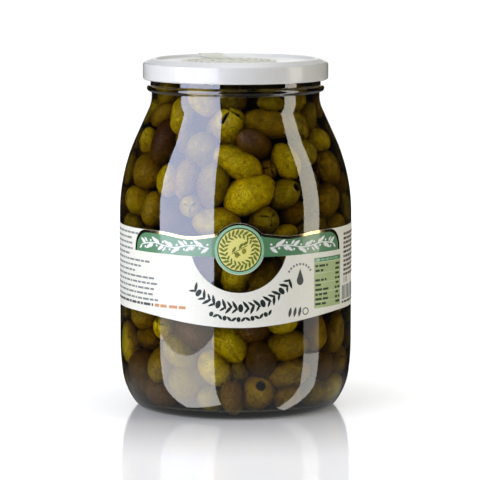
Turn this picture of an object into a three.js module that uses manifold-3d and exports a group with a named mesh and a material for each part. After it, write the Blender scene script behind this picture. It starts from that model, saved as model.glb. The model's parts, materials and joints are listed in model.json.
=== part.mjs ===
// A tall round glass jar of pitted olives, shut by a white enamelled steel twist lid.
// Millimetres, +Z up. The origin is the middle of the foot, on the surface the jar stands on.
// The front of the jar, with the middle of its paper label, faces -Y.

import * as THREE from 'three';
import { mergeVertices } from 'three/addons/utils/BufferGeometryUtils.js';
import Module from 'manifold-3d';

const wasm = await Module();
wasm.setup();

const degrees = Math.PI / 180;

// Driving dimensions of the glass
const BODY_RADIUS = 53.2;
const NECK_RADIUS = 38.4;
const WALL = 2.6;
const SHOULDER_START = 89;
const RIM_TOP = 159.2;
const FINISH_RADIUS = 38.9;
const MOUTH_RADIUS = 35.8;
const BEAD_RADIUS = 40.6;
const BEAD_HEIGHT = 146.4;
const BEAD_HALF_THICKNESS = 1.5;
const FOOT_WIDTH = 4.5;
const PUNT_HEIGHT = 2.4;
const FLOOR_HEIGHT = 6.2;
const JAR_SIDES = 36;

// The heel turns from the floor to upright, the shoulder from upright to its slope and back
const HEEL_ARCS = [[6.1, 54], [29.5, 28], [101, 8]];
const SHOULDER_ARC = [84, 24.4];
const SHOULDER_SLOPE_LENGTH = 14.6;
const NECK_FILLET_RADIUS = 14;

// Driving dimensions of the lid
const LID_RADIUS = 42.4;
const LID_BOTTOM = 149.9;
const LID_SKIRT_TOP = 158.3;
const LID_RIDGE_TOP = 160.3;
const LID_RIDGE_RADIUS = 38.2;
const LID_PANEL_HEIGHT = 158.9;
const LID_PANEL_RADIUS = 35;
const LID_SHEET = 0.8;
const LID_CURL = 1.1;

// Driving dimensions of the paper label, measured along the glass and up from the foot
const LABEL_GAP = 0.15;
const PAPER = 0.3;
const LABEL_LENGTH = 322;
const LABEL_TURN = 1.8 / BODY_RADIUS;
const LABEL_STEPS = 60;
const LABEL_TOP = 85;
const LABEL_TOP_DIP = 1.5;
const LABEL_DIP_AT = 23;
const LABEL_DIP_WIDTH = 15;
const LABEL_LOW_MIDDLE = 43;
const LABEL_LOW_SIDES = 47.6;
const LABEL_LOW_REACH = 58;
const BADGE_HEIGHT = 78;
const BADGE_RADIUS = 11.9;
const BADGE_BLEND = 2.2;
const WINDOW_TOP = 74.7;
const WINDOW_CENTRE = 81.2;
const WINDOW_RADIUS = 22.5;
const WINDOW_BADGE_RADIUS = 11.2;

// Driving dimensions of the paper seal on the lid
const SEAL_RADIUS = 22;
const SEAL_CENTRE_X = -3;
const SEAL_GAP = 0.3;
const SEAL_PAPER = 0.25;
const SEAL_TAB_WIDTH = 10.5;
const SEAL_TAB_TURN = 19 * degrees;
const SEAL_TAB_END = 152.5;

// Driving dimensions of the olives
const OLIVE_COUNT = 285;
const OLIVE_HALF_LENGTH = 9.3;
const OLIVE_HALF_WIDTH = 6.9;
const OLIVE_SIZE_SPREAD = 0.13;
const OLIVE_SEED = 20;
const HEAP_TOP = 149;
const HEAP_CLEARANCE = 0.35;
const CORE_DEPTH = 10.6;
const SETTLE_STEPS = 260;
const GROWTH_STEPS = 170;
const OUTWARD_DRIFT = 0.05;
const CONTACT_SHRINK = 0.965;
const OLIVE_SHAPE_SHRINK = 0.97;
const LABEL_COVER = 6;

const MATERIALS = {
  glass: { color: 0xcdd8cf, roughness: 0.05, metalness: 0, transparent: true, opacity: 0.35 },
  enamel: { color: 0xf2f2ef, roughness: 0.25, metalness: 0 },
  seal: { color: 0xe4e6c8, roughness: 0.7, metalness: 0 },
  label: { color: 0xf1eee6, roughness: 0.6, metalness: 0 },
  olives: { color: 0x6f6a1c, roughness: 0.4, metalness: 0 },
};

function toSolid(geometry) {
  const bare = geometry.clone();
  bare.deleteAttribute('normal');
  bare.deleteAttribute('uv');
  const merged = mergeVertices(bare, 1e-4);
  const mesh = new wasm.Mesh({
    numProp: 3,
    vertProperties: Float32Array.from(merged.attributes.position.array),
    triVerts: Uint32Array.from(merged.index.array),
  });
  return new wasm.Manifold(mesh);
}

function toGeometry(solid) {
  const mesh = solid.getMesh();
  const geometry = new THREE.BufferGeometry();
  geometry.setAttribute('position', new THREE.BufferAttribute(mesh.vertProperties, 3));
  geometry.setIndex(new THREE.BufferAttribute(mesh.triVerts, 1));
  return geometry;
}

function toMesh(name, geometry, material) {
  geometry.computeVertexNormals();
  const mesh = new THREE.Mesh(geometry, new THREE.MeshStandardMaterial(MATERIALS[material]));
  mesh.name = name;
  return mesh;
}

// Turns a closed outline of [radius, height] points about the Z axis
function revolve(outline, sides) {
  const points = outline.map(([radius, height]) => new THREE.Vector2(radius, height));
  return new THREE.LatheGeometry(points, sides).rotateX(Math.PI / 2);
}

// A run of arcs that starts at a point with a heading, measured up from level.
// Each arc is [radius, turn in degrees], and a positive turn bends it upwards.
function arcRun(start, heading, arcs, stepDegrees) {
  const points = [start];
  let [radius, height] = start;
  let angle = heading;
  for (const [bend, turn] of arcs) {
    const steps = Math.max(1, Math.round(Math.abs(turn) / stepDegrees));
    const step = (turn * degrees) / steps;
    const chord = 2 * bend * Math.sin(Math.abs(step) / 2);
    for (let i = 0; i < steps; i++) {
      radius += chord * Math.cos(angle + step / 2);
      height += chord * Math.sin(angle + step / 2);
      angle += step;
      points.push([radius, height]);
    }
  }
  return points;
}

// The outside of the body, from the foot up to the neck
function bodyOutline(inset) {
  const heelArcs = HEEL_ARCS.map(([bend, turn]) => [bend - inset, turn]);
  const heelFromFoot = arcRun([0, 0], 0, heelArcs, 13.5);
  const [heelWidth] = heelFromFoot[heelFromFoot.length - 1];
  const footEdge = BODY_RADIUS - inset - heelWidth;
  const heel = heelFromFoot.map(([radius, height]) => [radius + footEdge, height + inset]);
  const [bend, turn] = SHOULDER_ARC;
  const shoulder = arcRun([BODY_RADIUS - inset, SHOULDER_START], Math.PI / 2, [[bend - inset, turn]], 6.1);
  const slope = 90 * degrees + turn * degrees;
  const [slopeRadius, slopeHeight] = shoulder[shoulder.length - 1];
  const slopeEnd = [
    slopeRadius + SHOULDER_SLOPE_LENGTH * Math.cos(slope),
    slopeHeight + SHOULDER_SLOPE_LENGTH * Math.sin(slope),
  ];
  const neck = arcRun(slopeEnd, slope, [[NECK_FILLET_RADIUS + inset, -turn]], 8.2);
  return [...heel, ...shoulder, ...neck];
}

function jarOutline() {
  const outside = bodyOutline(0);
  const inside = bodyOutline(WALL).filter(([, height]) => height > FLOOR_HEIGHT + 1.5);
  const footEdge = outside[0][0];
  const neck = outside[outside.length - 1][0];
  const bead = [];
  for (let turn = -70; turn <= 70; turn += 35) {
    bead.push([
      BEAD_RADIUS - BEAD_HALF_THICKNESS * (1 - Math.cos(turn * degrees)),
      BEAD_HEIGHT + BEAD_HALF_THICKNESS * Math.sin(turn * degrees),
    ]);
  }
  const finish = [
    [neck, BEAD_HEIGHT - BEAD_HALF_THICKNESS - 0.6],
    ...bead,
    [FINISH_RADIUS, BEAD_HEIGHT + BEAD_HALF_THICKNESS + 0.6],
    [FINISH_RADIUS, RIM_TOP - 1],
    [FINISH_RADIUS - 1, RIM_TOP],
    [MOUTH_RADIUS + 0.8, RIM_TOP],
    [MOUTH_RADIUS, RIM_TOP - 0.8],
    [MOUTH_RADIUS, BEAD_HEIGHT],
  ];
  const underside = [
    [0, PUNT_HEIGHT],
    [(footEdge - FOOT_WIDTH) * 0.6, PUNT_HEIGHT * 0.72],
    [footEdge - FOOT_WIDTH, 0],
  ];
  const [insideFoot] = inside[0];
  const floor = [
    [insideFoot - 2.2, FLOOR_HEIGHT + 0.4],
    [insideFoot - 6, FLOOR_HEIGHT],
    [0, FLOOR_HEIGHT + 0.8],
  ];
  return [...underside, ...outside, ...finish, ...inside.reverse(), ...floor];
}

function makeJar() {
  return toMesh('jar', revolve(jarOutline(), JAR_SIDES), 'glass');
}

// The top of the lid from its middle out to the skirt, raised by an offset for what lies on it
function lidTop(offset) {
  return [
    [0, LID_PANEL_HEIGHT + offset],
    [LID_PANEL_RADIUS - offset, LID_PANEL_HEIGHT + offset],
    [LID_PANEL_RADIUS + 1.3 - offset, LID_RIDGE_TOP - 0.3 + offset],
    [LID_RIDGE_RADIUS - 1, LID_RIDGE_TOP + offset],
    [LID_RIDGE_RADIUS + offset * 0.4, LID_RIDGE_TOP - 0.1 + offset],
    [LID_RADIUS - 0.9 + offset * 0.5, LID_SKIRT_TOP + 0.3 + offset],
    [LID_RADIUS + offset, LID_SKIRT_TOP - 0.6 + offset * 0.4],
  ];
}

function makeLid() {
  const curl = [];
  for (let turn = 0; turn <= 270; turn += 45) {
    curl.push([
      LID_RADIUS - LID_CURL + LID_CURL * Math.cos(turn * degrees),
      LID_BOTTOM + LID_CURL - LID_CURL * Math.sin(turn * degrees),
    ]);
  }
  const skirtInside = LID_RADIUS - LID_SHEET;
  const underside = [
    [skirtInside, LID_BOTTOM + 2.3 * LID_CURL],
    [skirtInside, LID_SKIRT_TOP - 0.8],
    [LID_RIDGE_RADIUS + 0.6, LID_RIDGE_TOP - LID_SHEET - 0.1],
    [LID_PANEL_RADIUS + 1.1, LID_RIDGE_TOP - LID_SHEET - 0.1],
    [LID_PANEL_RADIUS - 0.2, LID_PANEL_HEIGHT - LID_SHEET],
    [0, LID_PANEL_HEIGHT - LID_SHEET],
  ];
  const outline = [...lidTop(0), ...curl.slice(0, 6), ...underside];
  return toMesh('lid', revolve(outline.reverse(), JAR_SIDES), 'enamel');
}

// A round paper seal on the lid's panel, with a tab that folds over the ridge and down the skirt
function makeLidSeal() {
  const low = [...lidTop(SEAL_GAP), [LID_RADIUS + SEAL_GAP, SEAL_TAB_END]];
  const raise = SEAL_GAP + SEAL_PAPER;
  const high = [...lidTop(raise), [LID_RADIUS + raise, SEAL_TAB_END]];
  const skin = toSolid(revolve([...low, ...high.reverse()], JAR_SIDES));
  const reach = LID_RADIUS + 5;
  const tall = 40;
  const disc = new THREE.CylinderGeometry(SEAL_RADIUS, SEAL_RADIUS, tall, 40).rotateX(Math.PI / 2);
  disc.translate(SEAL_CENTRE_X, 0, LID_PANEL_HEIGHT);
  const tab = new THREE.BoxGeometry(SEAL_TAB_WIDTH, reach, tall).translate(0, reach / 2, LID_PANEL_HEIGHT);
  tab.rotateZ(SEAL_TAB_TURN);
  const shape = toSolid(disc).add(toSolid(tab));
  return toMesh('lid_seal', toGeometry(skin.intersect(shape)), 'seal');
}

function smooth(t) {
  const x = Math.min(1, Math.max(0, t));
  return x * x * (3 - 2 * x);
}

// Height of the label's top edge at a distance along the glass from the label's middle
function labelTop(along) {
  const u = Math.abs(along);
  const dip = LABEL_TOP_DIP * (1 - smooth(Math.abs(u - LABEL_DIP_AT) / LABEL_DIP_WIDTH));
  const straight = LABEL_TOP - dip;
  const inBadge = Math.max(0, BADGE_RADIUS ** 2 - u ** 2);
  const round = u < BADGE_RADIUS ? BADGE_HEIGHT + Math.sqrt(inBadge) : 0;
  const lift = Math.max(0, BADGE_BLEND - Math.abs(straight - round)) / BADGE_BLEND;
  return Math.max(straight, round) + (BADGE_BLEND * lift ** 2) / 4;
}

function labelLow(along) {
  return LABEL_LOW_MIDDLE + (LABEL_LOW_SIDES - LABEL_LOW_MIDDLE) * smooth(Math.abs(along) / LABEL_LOW_REACH);
}

// Moves a point at a distance along, up and out from the glass to its place round the jar
function wrap(point, along, up, out) {
  const angle = along / BODY_RADIUS;
  const radius = BODY_RADIUS + out;
  return point.set(radius * Math.sin(angle), -radius * Math.cos(angle), up);
}

// The half-moon window through the label, below the badge
function windowCutter() {
  const halfWidth = Math.sqrt(WINDOW_RADIUS ** 2 - (WINDOW_CENTRE - WINDOW_TOP) ** 2);
  const badgeHalf = Math.sqrt(WINDOW_BADGE_RADIUS ** 2 - (BADGE_HEIGHT - WINDOW_TOP) ** 2);
  const windowAngle = Math.atan2(WINDOW_TOP - WINDOW_CENTRE, halfWidth);
  const badgeAngle = Math.atan2(WINDOW_TOP - BADGE_HEIGHT, badgeHalf);
  const shape = new THREE.Shape();
  shape.moveTo(-halfWidth, WINDOW_TOP);
  shape.absarc(0, WINDOW_CENTRE, WINDOW_RADIUS, Math.PI - windowAngle, 2 * Math.PI + windowAngle, false);
  shape.absarc(0, BADGE_HEIGHT, WINDOW_BADGE_RADIUS, badgeAngle, -Math.PI - badgeAngle, true);
  const depth = 40;
  const cutter = new THREE.ExtrudeGeometry(shape, { depth, bevelEnabled: false, curveSegments: 18 });
  const position = cutter.attributes.position;
  const point = new THREE.Vector3();
  for (let i = 0; i < position.count; i++) {
    wrap(point, position.getX(i), position.getY(i), position.getZ(i) - depth / 2);
    position.setXYZ(i, point.x, point.y, point.z);
  }
  return toSolid(cutter);
}

function makeLabel() {
  const sheet = new THREE.BoxGeometry(LABEL_LENGTH, 1, PAPER, LABEL_STEPS, 1, 1);
  const position = sheet.attributes.position;
  const point = new THREE.Vector3();
  for (let i = 0; i < position.count; i++) {
    const along = position.getX(i);
    const up = position.getY(i) > 0 ? labelTop(along) : labelLow(along);
    wrap(point, along, up, LABEL_GAP + PAPER / 2 + position.getZ(i));
    position.setXYZ(i, point.x, point.y, point.z);
  }
  const label = toSolid(sheet).subtract(windowCutter());
  return toMesh('label', toGeometry(label).rotateZ(LABEL_TURN), 'label');
}

// Repeatable draws between 0 and 1
function makeDraw(seed) {
  let state = seed;
  return () => {
    state = (state * 1664525 + 1013904223) % 4294967296;
    return state / 4294967296;
  };
}

// The inside radius of the glass and its lean, at a height
function makeInside() {
  const outline = bodyOutline(WALL);
  const [neckRadius] = outline[outline.length - 1];
  outline.push([Math.min(neckRadius, MOUTH_RADIUS), BEAD_HEIGHT], [MOUTH_RADIUS, RIM_TOP]);
  return (height) => {
    let i = 1;
    while (i < outline.length - 1 && outline[i][1] < height) i++;
    const [r0, z0] = outline[i - 1];
    const [r1, z1] = outline[i];
    const slope = (r1 - r0) / Math.max(z1 - z0, 1e-6);
    const radius = r0 + slope * (Math.max(height, outline[0][1]) - z0);
    return { radius, lean: Math.hypot(1, slope) };
  };
}

// Each olive is two round ends on a stiff rod. They start small, at random in the jar, and
// grow while they push each other and the glass away, until they lie packed against the wall.
function packOlives(inside) {
  const draw = makeDraw(OLIVE_SEED);
  const floor = FLOOR_HEIGHT + HEAP_CLEARANCE + 0.8;
  const olives = [];
  while (olives.length < OLIVE_COUNT) {
    const height = floor + 6 + (HEAP_TOP - floor - 12) * draw();
    const side = (2 * draw() - 1) * BODY_RADIUS;
    const deep = (2 * draw() - 1) * BODY_RADIUS;
    const radius = Math.hypot(side, deep);
    const limit = inside(height).radius - OLIVE_HALF_WIDTH;
    if (radius > limit || radius < limit * 0.4) continue;
    const rise = 2 * draw() - 1;
    const turn = 2 * Math.PI * draw();
    const flat = Math.sqrt(1 - rise * rise);
    const size = 1 + OLIVE_SIZE_SPREAD * (2 * draw() - 1);
    olives.push({
      centre: new THREE.Vector3(side, deep, height),
      axis: new THREE.Vector3(flat * Math.cos(turn), flat * Math.sin(turn), rise),
      size,
    });
  }
  const rod = OLIVE_HALF_LENGTH - OLIVE_HALF_WIDTH;
  const ends = [];
  for (const olive of olives) {
    for (const sign of [-1, 1]) {
      ends.push({ olive, at: olive.centre.clone().addScaledVector(olive.axis, sign * rod * olive.size) });
    }
  }
  const apart = new THREE.Vector3();
  for (let step = 0; step < SETTLE_STEPS; step++) {
    const grown = 0.45 + 0.55 * Math.min(1, step / GROWTH_STEPS);
    const ball = OLIVE_HALF_WIDTH * CONTACT_SHRINK * grown;
    const moves = ends.map(() => new THREE.Vector3());
    for (let i = 0; i < ends.length; i++) {
      for (let j = i + 2 - (i % 2); j < ends.length; j++) {
        apart.subVectors(ends[i].at, ends[j].at);
        const reach = ball * (ends[i].olive.size + ends[j].olive.size);
        const squared = apart.lengthSq();
        if (squared >= reach * reach) continue;
        const distance = Math.sqrt(squared);
        apart.multiplyScalar((0.45 * (reach - distance)) / Math.max(distance, 1e-6));
        moves[i].add(apart);
        moves[j].sub(apart);
      }
    }
    ends.forEach((end, i) => {
      const { at, olive } = end;
      at.add(moves[i]);
      const drift = step < GROWTH_STEPS ? OUTWARD_DRIFT : 0;
      const radius = Math.max(Math.hypot(at.x, at.y), 1e-6);
      at.x *= 1 + drift / radius;
      at.y *= 1 + drift / radius;
      const round = OLIVE_HALF_WIDTH * grown * olive.size;
      at.z = Math.min(Math.max(at.z, floor + round), HEAP_TOP - round);
      const wall = inside(at.z);
      const limit = wall.radius - HEAP_CLEARANCE - round * wall.lean;
      if (radius + drift > limit) {
        at.x *= limit / (radius + drift);
        at.y *= limit / (radius + drift);
      }
    });
    olives.forEach((olive, i) => {
      const first = ends[2 * i].at;
      const second = ends[2 * i + 1].at;
      olive.centre.addVectors(first, second).multiplyScalar(0.5);
      olive.axis.subVectors(second, first).normalize();
      const half = rod * olive.size * grown;
      first.copy(olive.centre).addScaledVector(olive.axis, -half);
      second.copy(olive.centre).addScaledVector(olive.axis, half);
    });
  }
  return olives;
}

// Whether paper hides an olive here: the label's window and the gap between its ends show some
function isBehindLabel(centre) {
  const along = (Math.atan2(centre.x, -centre.y) - LABEL_TURN) * BODY_RADIUS;
  const besidePaper = Math.abs(along) > LABEL_LENGTH / 2 - LABEL_COVER;
  const fromWindow = Math.hypot(along, centre.z - WINDOW_CENTRE) - WINDOW_RADIUS;
  const low = labelLow(along) + LABEL_COVER;
  const high = labelTop(along) - LABEL_COVER;
  return centre.z > low && centre.z < high && !besidePaper && fromWindow > LABEL_COVER;
}

function makeOlives() {
  const inside = makeInside();
  const outline = bodyOutline(WALL)
    .map(([radius, height]) => [radius - CORE_DEPTH, height])
    .filter(([, height]) => height > FLOOR_HEIGHT + CORE_DEPTH && height < HEAP_TOP - CORE_DEPTH);
  const [lowRadius, lowHeight] = outline[0];
  const [highRadius, highHeight] = outline[outline.length - 1];
  const core = revolve([
    [0, FLOOR_HEIGHT + CORE_DEPTH - 1],
    [lowRadius - 4, FLOOR_HEIGHT + CORE_DEPTH - 1],
    [lowRadius, lowHeight + 3],
    ...outline.filter((point, i) => i % 3 === 2 && point[1] > lowHeight + 6),
    [highRadius, highHeight],
    [0, HEAP_TOP - CORE_DEPTH],
  ], 20);
  const round = new THREE.SphereGeometry(1, 6, 4).rotateX(Math.PI / 2);
  const up = new THREE.Vector3(0, 0, 1);
  const solids = [toSolid(core)];
  for (const { centre, axis, size } of packOlives(inside)) {
    const wall = inside(centre.z).radius;
    const radius = Math.hypot(centre.x, centre.y);
    if (wall - radius > CORE_DEPTH + 1 || isBehindLabel(centre)) continue;
    const shown = size * OLIVE_SHAPE_SHRINK;
    const across = OLIVE_HALF_WIDTH * shown;
    const scale = new THREE.Vector3(across, across, OLIVE_HALF_LENGTH * shown);
    const turn = new THREE.Quaternion().setFromUnitVectors(up, axis);
    const place = new THREE.Matrix4().compose(centre, turn, scale);
    solids.push(toSolid(round.clone().applyMatrix4(place)));
  }
  const heap = wasm.Manifold.union(solids);
  const pieces = heap.decompose().sort((a, b) => b.volume() - a.volume());
  return toMesh('olives', toGeometry(pieces[0]), 'olives');
}

const jarOfOlives = new THREE.Group();
jarOfOlives.name = 'jar_of_olives';
jarOfOlives.add(makeJar(), makeOlives(), makeLabel(), makeLid(), makeLidSeal());

export default jarOfOlives;
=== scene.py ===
"""A tall glass jar of pitted olives in oil, with its paper label, steel lid and paper seal.

Metres, +Z up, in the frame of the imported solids. The middle of the label faces -Y.
"""

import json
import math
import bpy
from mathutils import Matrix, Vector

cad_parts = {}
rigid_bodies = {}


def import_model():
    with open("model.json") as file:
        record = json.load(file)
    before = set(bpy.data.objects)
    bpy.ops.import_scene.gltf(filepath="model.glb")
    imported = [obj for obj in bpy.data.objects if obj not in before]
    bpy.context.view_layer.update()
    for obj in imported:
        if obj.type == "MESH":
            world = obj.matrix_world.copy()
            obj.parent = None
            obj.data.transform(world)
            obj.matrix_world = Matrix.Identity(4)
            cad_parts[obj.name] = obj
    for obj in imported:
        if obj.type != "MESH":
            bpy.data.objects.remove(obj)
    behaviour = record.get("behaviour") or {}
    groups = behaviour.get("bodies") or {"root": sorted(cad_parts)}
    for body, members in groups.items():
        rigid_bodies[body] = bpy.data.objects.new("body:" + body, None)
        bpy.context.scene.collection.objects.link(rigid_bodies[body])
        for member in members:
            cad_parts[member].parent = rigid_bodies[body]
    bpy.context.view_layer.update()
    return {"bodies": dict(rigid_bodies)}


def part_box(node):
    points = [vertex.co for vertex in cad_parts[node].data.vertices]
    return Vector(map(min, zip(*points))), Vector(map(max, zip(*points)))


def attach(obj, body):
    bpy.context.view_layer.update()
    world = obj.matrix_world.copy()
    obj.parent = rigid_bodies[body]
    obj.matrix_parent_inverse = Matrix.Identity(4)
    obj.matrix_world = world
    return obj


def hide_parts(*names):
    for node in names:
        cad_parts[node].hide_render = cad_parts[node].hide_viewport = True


bl_info = {
    "name": "Jar of Olives",
    "version": (1, 0, 0),
    "blender": (4, 5, 0),
    "location": "View3D > Sidebar > Jar of Olives",
    "description": "Builds a glass jar of pitted olives in oil, and the studio it is shown in",
    "category": "Add Mesh",
}

import bmesh
import bpy
import numpy as np
from mathutils import Matrix, Vector, noise

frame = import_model()
JAR_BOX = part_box("jar")
LID_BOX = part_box("lid")
LABEL_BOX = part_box("label")
SEAL_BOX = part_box("lid_seal")

MM = 0.001
ROOT = "root" if "root" in frame["bodies"] else next(iter(frame["bodies"]))

# The glass, in millimetres
BODY_RADIUS = JAR_BOX[1][0] / MM
RIM_TOP = JAR_BOX[1][2] / MM
WALL = 2.6
SHOULDER_START = 89
FINISH_RADIUS = 38.9
MOUTH_RADIUS = 35.8
BEAD_RADIUS = 40.6
BEAD_HEIGHT = 146.4
BEAD_HALF_THICKNESS = 1.5
FOOT_WIDTH = 4.5
PUNT_HEIGHT = 2.4
FLOOR_HEIGHT = 4.6
HEEL_ARCS = ((6.1, 54), (29.5, 28), (101, 8))
SHOULDER_ARC = (84, 24.4)
SHOULDER_SLOPE_LENGTH = 14.6
NECK_FILLET_RADIUS = 14
GLASS_STEPS = 160
FOOT_TOP = 2.5
# How much of the lamps' light the foot's glass lets through, for a darker painted shadow on the floor at the
# foot
FOOT_SHADOW_CLEAR = 0.35

# The oil reaches this far into the glass, and up to this height
OIL_REACH = 0.25
OIL_TOP = 153.5

# The lid, in millimetres
LID_RADIUS = LID_BOX[1][0] / MM
LID_BOTTOM = LID_BOX[0][2] / MM + 0.4
LID_RIDGE_TOP = LID_BOX[1][2] / MM - 0.35
LID_SKIRT_TOP = LID_RIDGE_TOP - 2
LID_RIDGE_RADIUS = 38.2
LID_PANEL_HEIGHT = LID_RIDGE_TOP - 1.4
LID_PANEL_RADIUS = 35
LID_SHEET = 0.6
LID_CURL = 1.1

# The label, in millimetres along the glass from its middle and up from the foot
PAPER_GAP = 0.02
PAPER = 0.13
INK = 0.02
LABEL_LENGTH = 322
LABEL_TURN = 1.8 / BODY_RADIUS
LABEL_TOP = 85
LABEL_TOP_DIP = 1.5
LABEL_DIP_AT = 23
LABEL_DIP_WIDTH = 15
LABEL_LOW_MIDDLE = LABEL_BOX[0][2] / MM
LABEL_LOW_SIDES = 47.6
LABEL_LOW_REACH = 58
BADGE_HEIGHT = 78
BADGE_RADIUS = 11.9
BADGE_BLEND = 2.2
WINDOW_TOP = 74.7
WINDOW_CENTRE = 81.2
WINDOW_RADIUS = 22.5
WINDOW_BADGE_RADIUS = 11.2
BEND_STEP = 2.5
BAND_HALF = 55.5
BAND_LOW = 75.0
BAND_CORNER = 8.5
FOIL = 1.25
SPRIG_START = 15.5
SPRIG_STEP = 3.7
SPRIG_HEIGHT = 78.9

# The layer of ink that each colour lies in, where it isn't the lowest
INK_LAYERS = {
    "over_dark": 1, "over_white": 1, "white": 1, "pale_green": 1, "yellow": 1, "olive": 2, "leaf": 3,
}

# The colours of the inks, and the ones with varnish on them
INKS = {
    "green": (88, 138, 96), "pale_green": (150, 200, 160), "panel": (178, 196, 138),
    "white": (240, 240, 235), "over_white": (214, 222, 190), "dark": (26, 40, 34),
    "over_dark": (50, 58, 36), "grey": (128, 134, 132), "dark_grey": (74, 76, 74),
    "brown": (84, 74, 62), "orange": (206, 146, 92), "yellow": (234, 228, 132),
    "leaf": (112, 122, 36), "olive": (150, 140, 34),
}
VARNISH = {"green": 0.8, "pale_green": 0.8}

# The seal, in millimetres
SEAL_RADIUS = 22
SEAL_CENTRE_X = -3
SEAL_PAPER = 0.14
SEAL_GAP = 0.06
SEAL_TAB_START = 18
SEAL_TAB_WIDTH = 10.5
SEAL_TAB_TURN = math.radians(19)
SEAL_TAB_END = SEAL_BOX[0][2] / MM

# The seal's rings of small leaves: how many, how far out, and how long and wide each is
SEAL_LEAVES = ((30, 18.5, 2.6, 1.0), (20, 15.5, 3.2, 1.1), (9, 8.0, 3.6, 1.3))

# The olives: how many, and their sizes in millimetres
OLIVE_COUNT = 330
OLIVE_SEED = 20
OLIVE_HALF_LENGTH = 9.3
OLIVE_HALF_WIDTH = 6.9
OLIVE_SKIN_SHARE = 0.985
OLIVE_FILL_SIZE = 0.9
OLIVE_SIZE_SPREAD = 0.12
OLIVE_AROUND = 32
OLIVE_ALONG = 24

# How much larger the olives at the glass are made: all, those at the sides and those low down
FRONT_GAIN = 1.05
SIDE_GAIN = 0.22
LOW_GAIN = 0.08
LOW_LEVEL = 45

# How the heap grows and settles, and how far each olive gives way to its neighbours
HEAP_TOP = 149
HEAP_CLEARANCE = 0.35
SETTLE_STEPS = 260
GROWTH_STEPS = 170
START_GROWTH = 0.45
OUTWARD_DRIFT = 0.05
CONTACT_SHRINK = 0.965
HELD_YIELD = 0.12
LOOSE_YIELD = 0.45
HOME_PULL = 0.1

# Each kind of olive: how wrinkled, the radius of its pit hole, and how deep its star, dent and crease
OLIVE_KINDS = (
    (0.14, 0.0, 0.3, 0.4, 0.0),
    (0.40, 0.0, 0.6, 0.6, 0.2),
    (0.22, 0.0, 1.25, 0.4, 0.0),
    (0.18, 2.9, 0.0, 0.5, 0.25),
    (0.40, 0.0, 2.4, 0.7, 0.7),
    (0.80, 0.0, 0.5, 0.6, 0.3),
    (0.26, 0.0, 0.4, 1.1, 0.3),
    (0.26, 0.0, 0.6, 0.5, 0.8),
)

# Each sort of olive: its dark, its light, its ripe colour, and how ripe it is
OLIVE_SORTS = {
    "golden": ((92, 72, 1), (208, 184, 6), (124, 82, 10), -0.28),
    "green": ((70, 58, 2), (158, 138, 6), (102, 72, 10), -0.24),
    "brown": ((78, 60, 3), (158, 126, 10), (94, 60, 16), -0.08),
    "purple": ((60, 38, 16), (108, 74, 44), (62, 34, 32), 0.05),
}

# What share of the other olives belongs to each sort, counted up
SORT_SHARES = (("golden", 0.3), ("green", 0.6), ("brown", 0.86), ("purple", 1.0))

# The core behind the olives, a dark solid of painted shade that stands for the olives deep in the heap, in
# millimetres, and how near the middle line an olive is left out
CORE_OUTLINE = (
    (0, 5.5), (31, 5.5), (33, 9), (28, 22), (28, 110), (25, 128), (24, 146), (20, 149), (0, 149),
)
CORE_STEPS = 48
CLEAR_MIDDLE = 24

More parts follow.
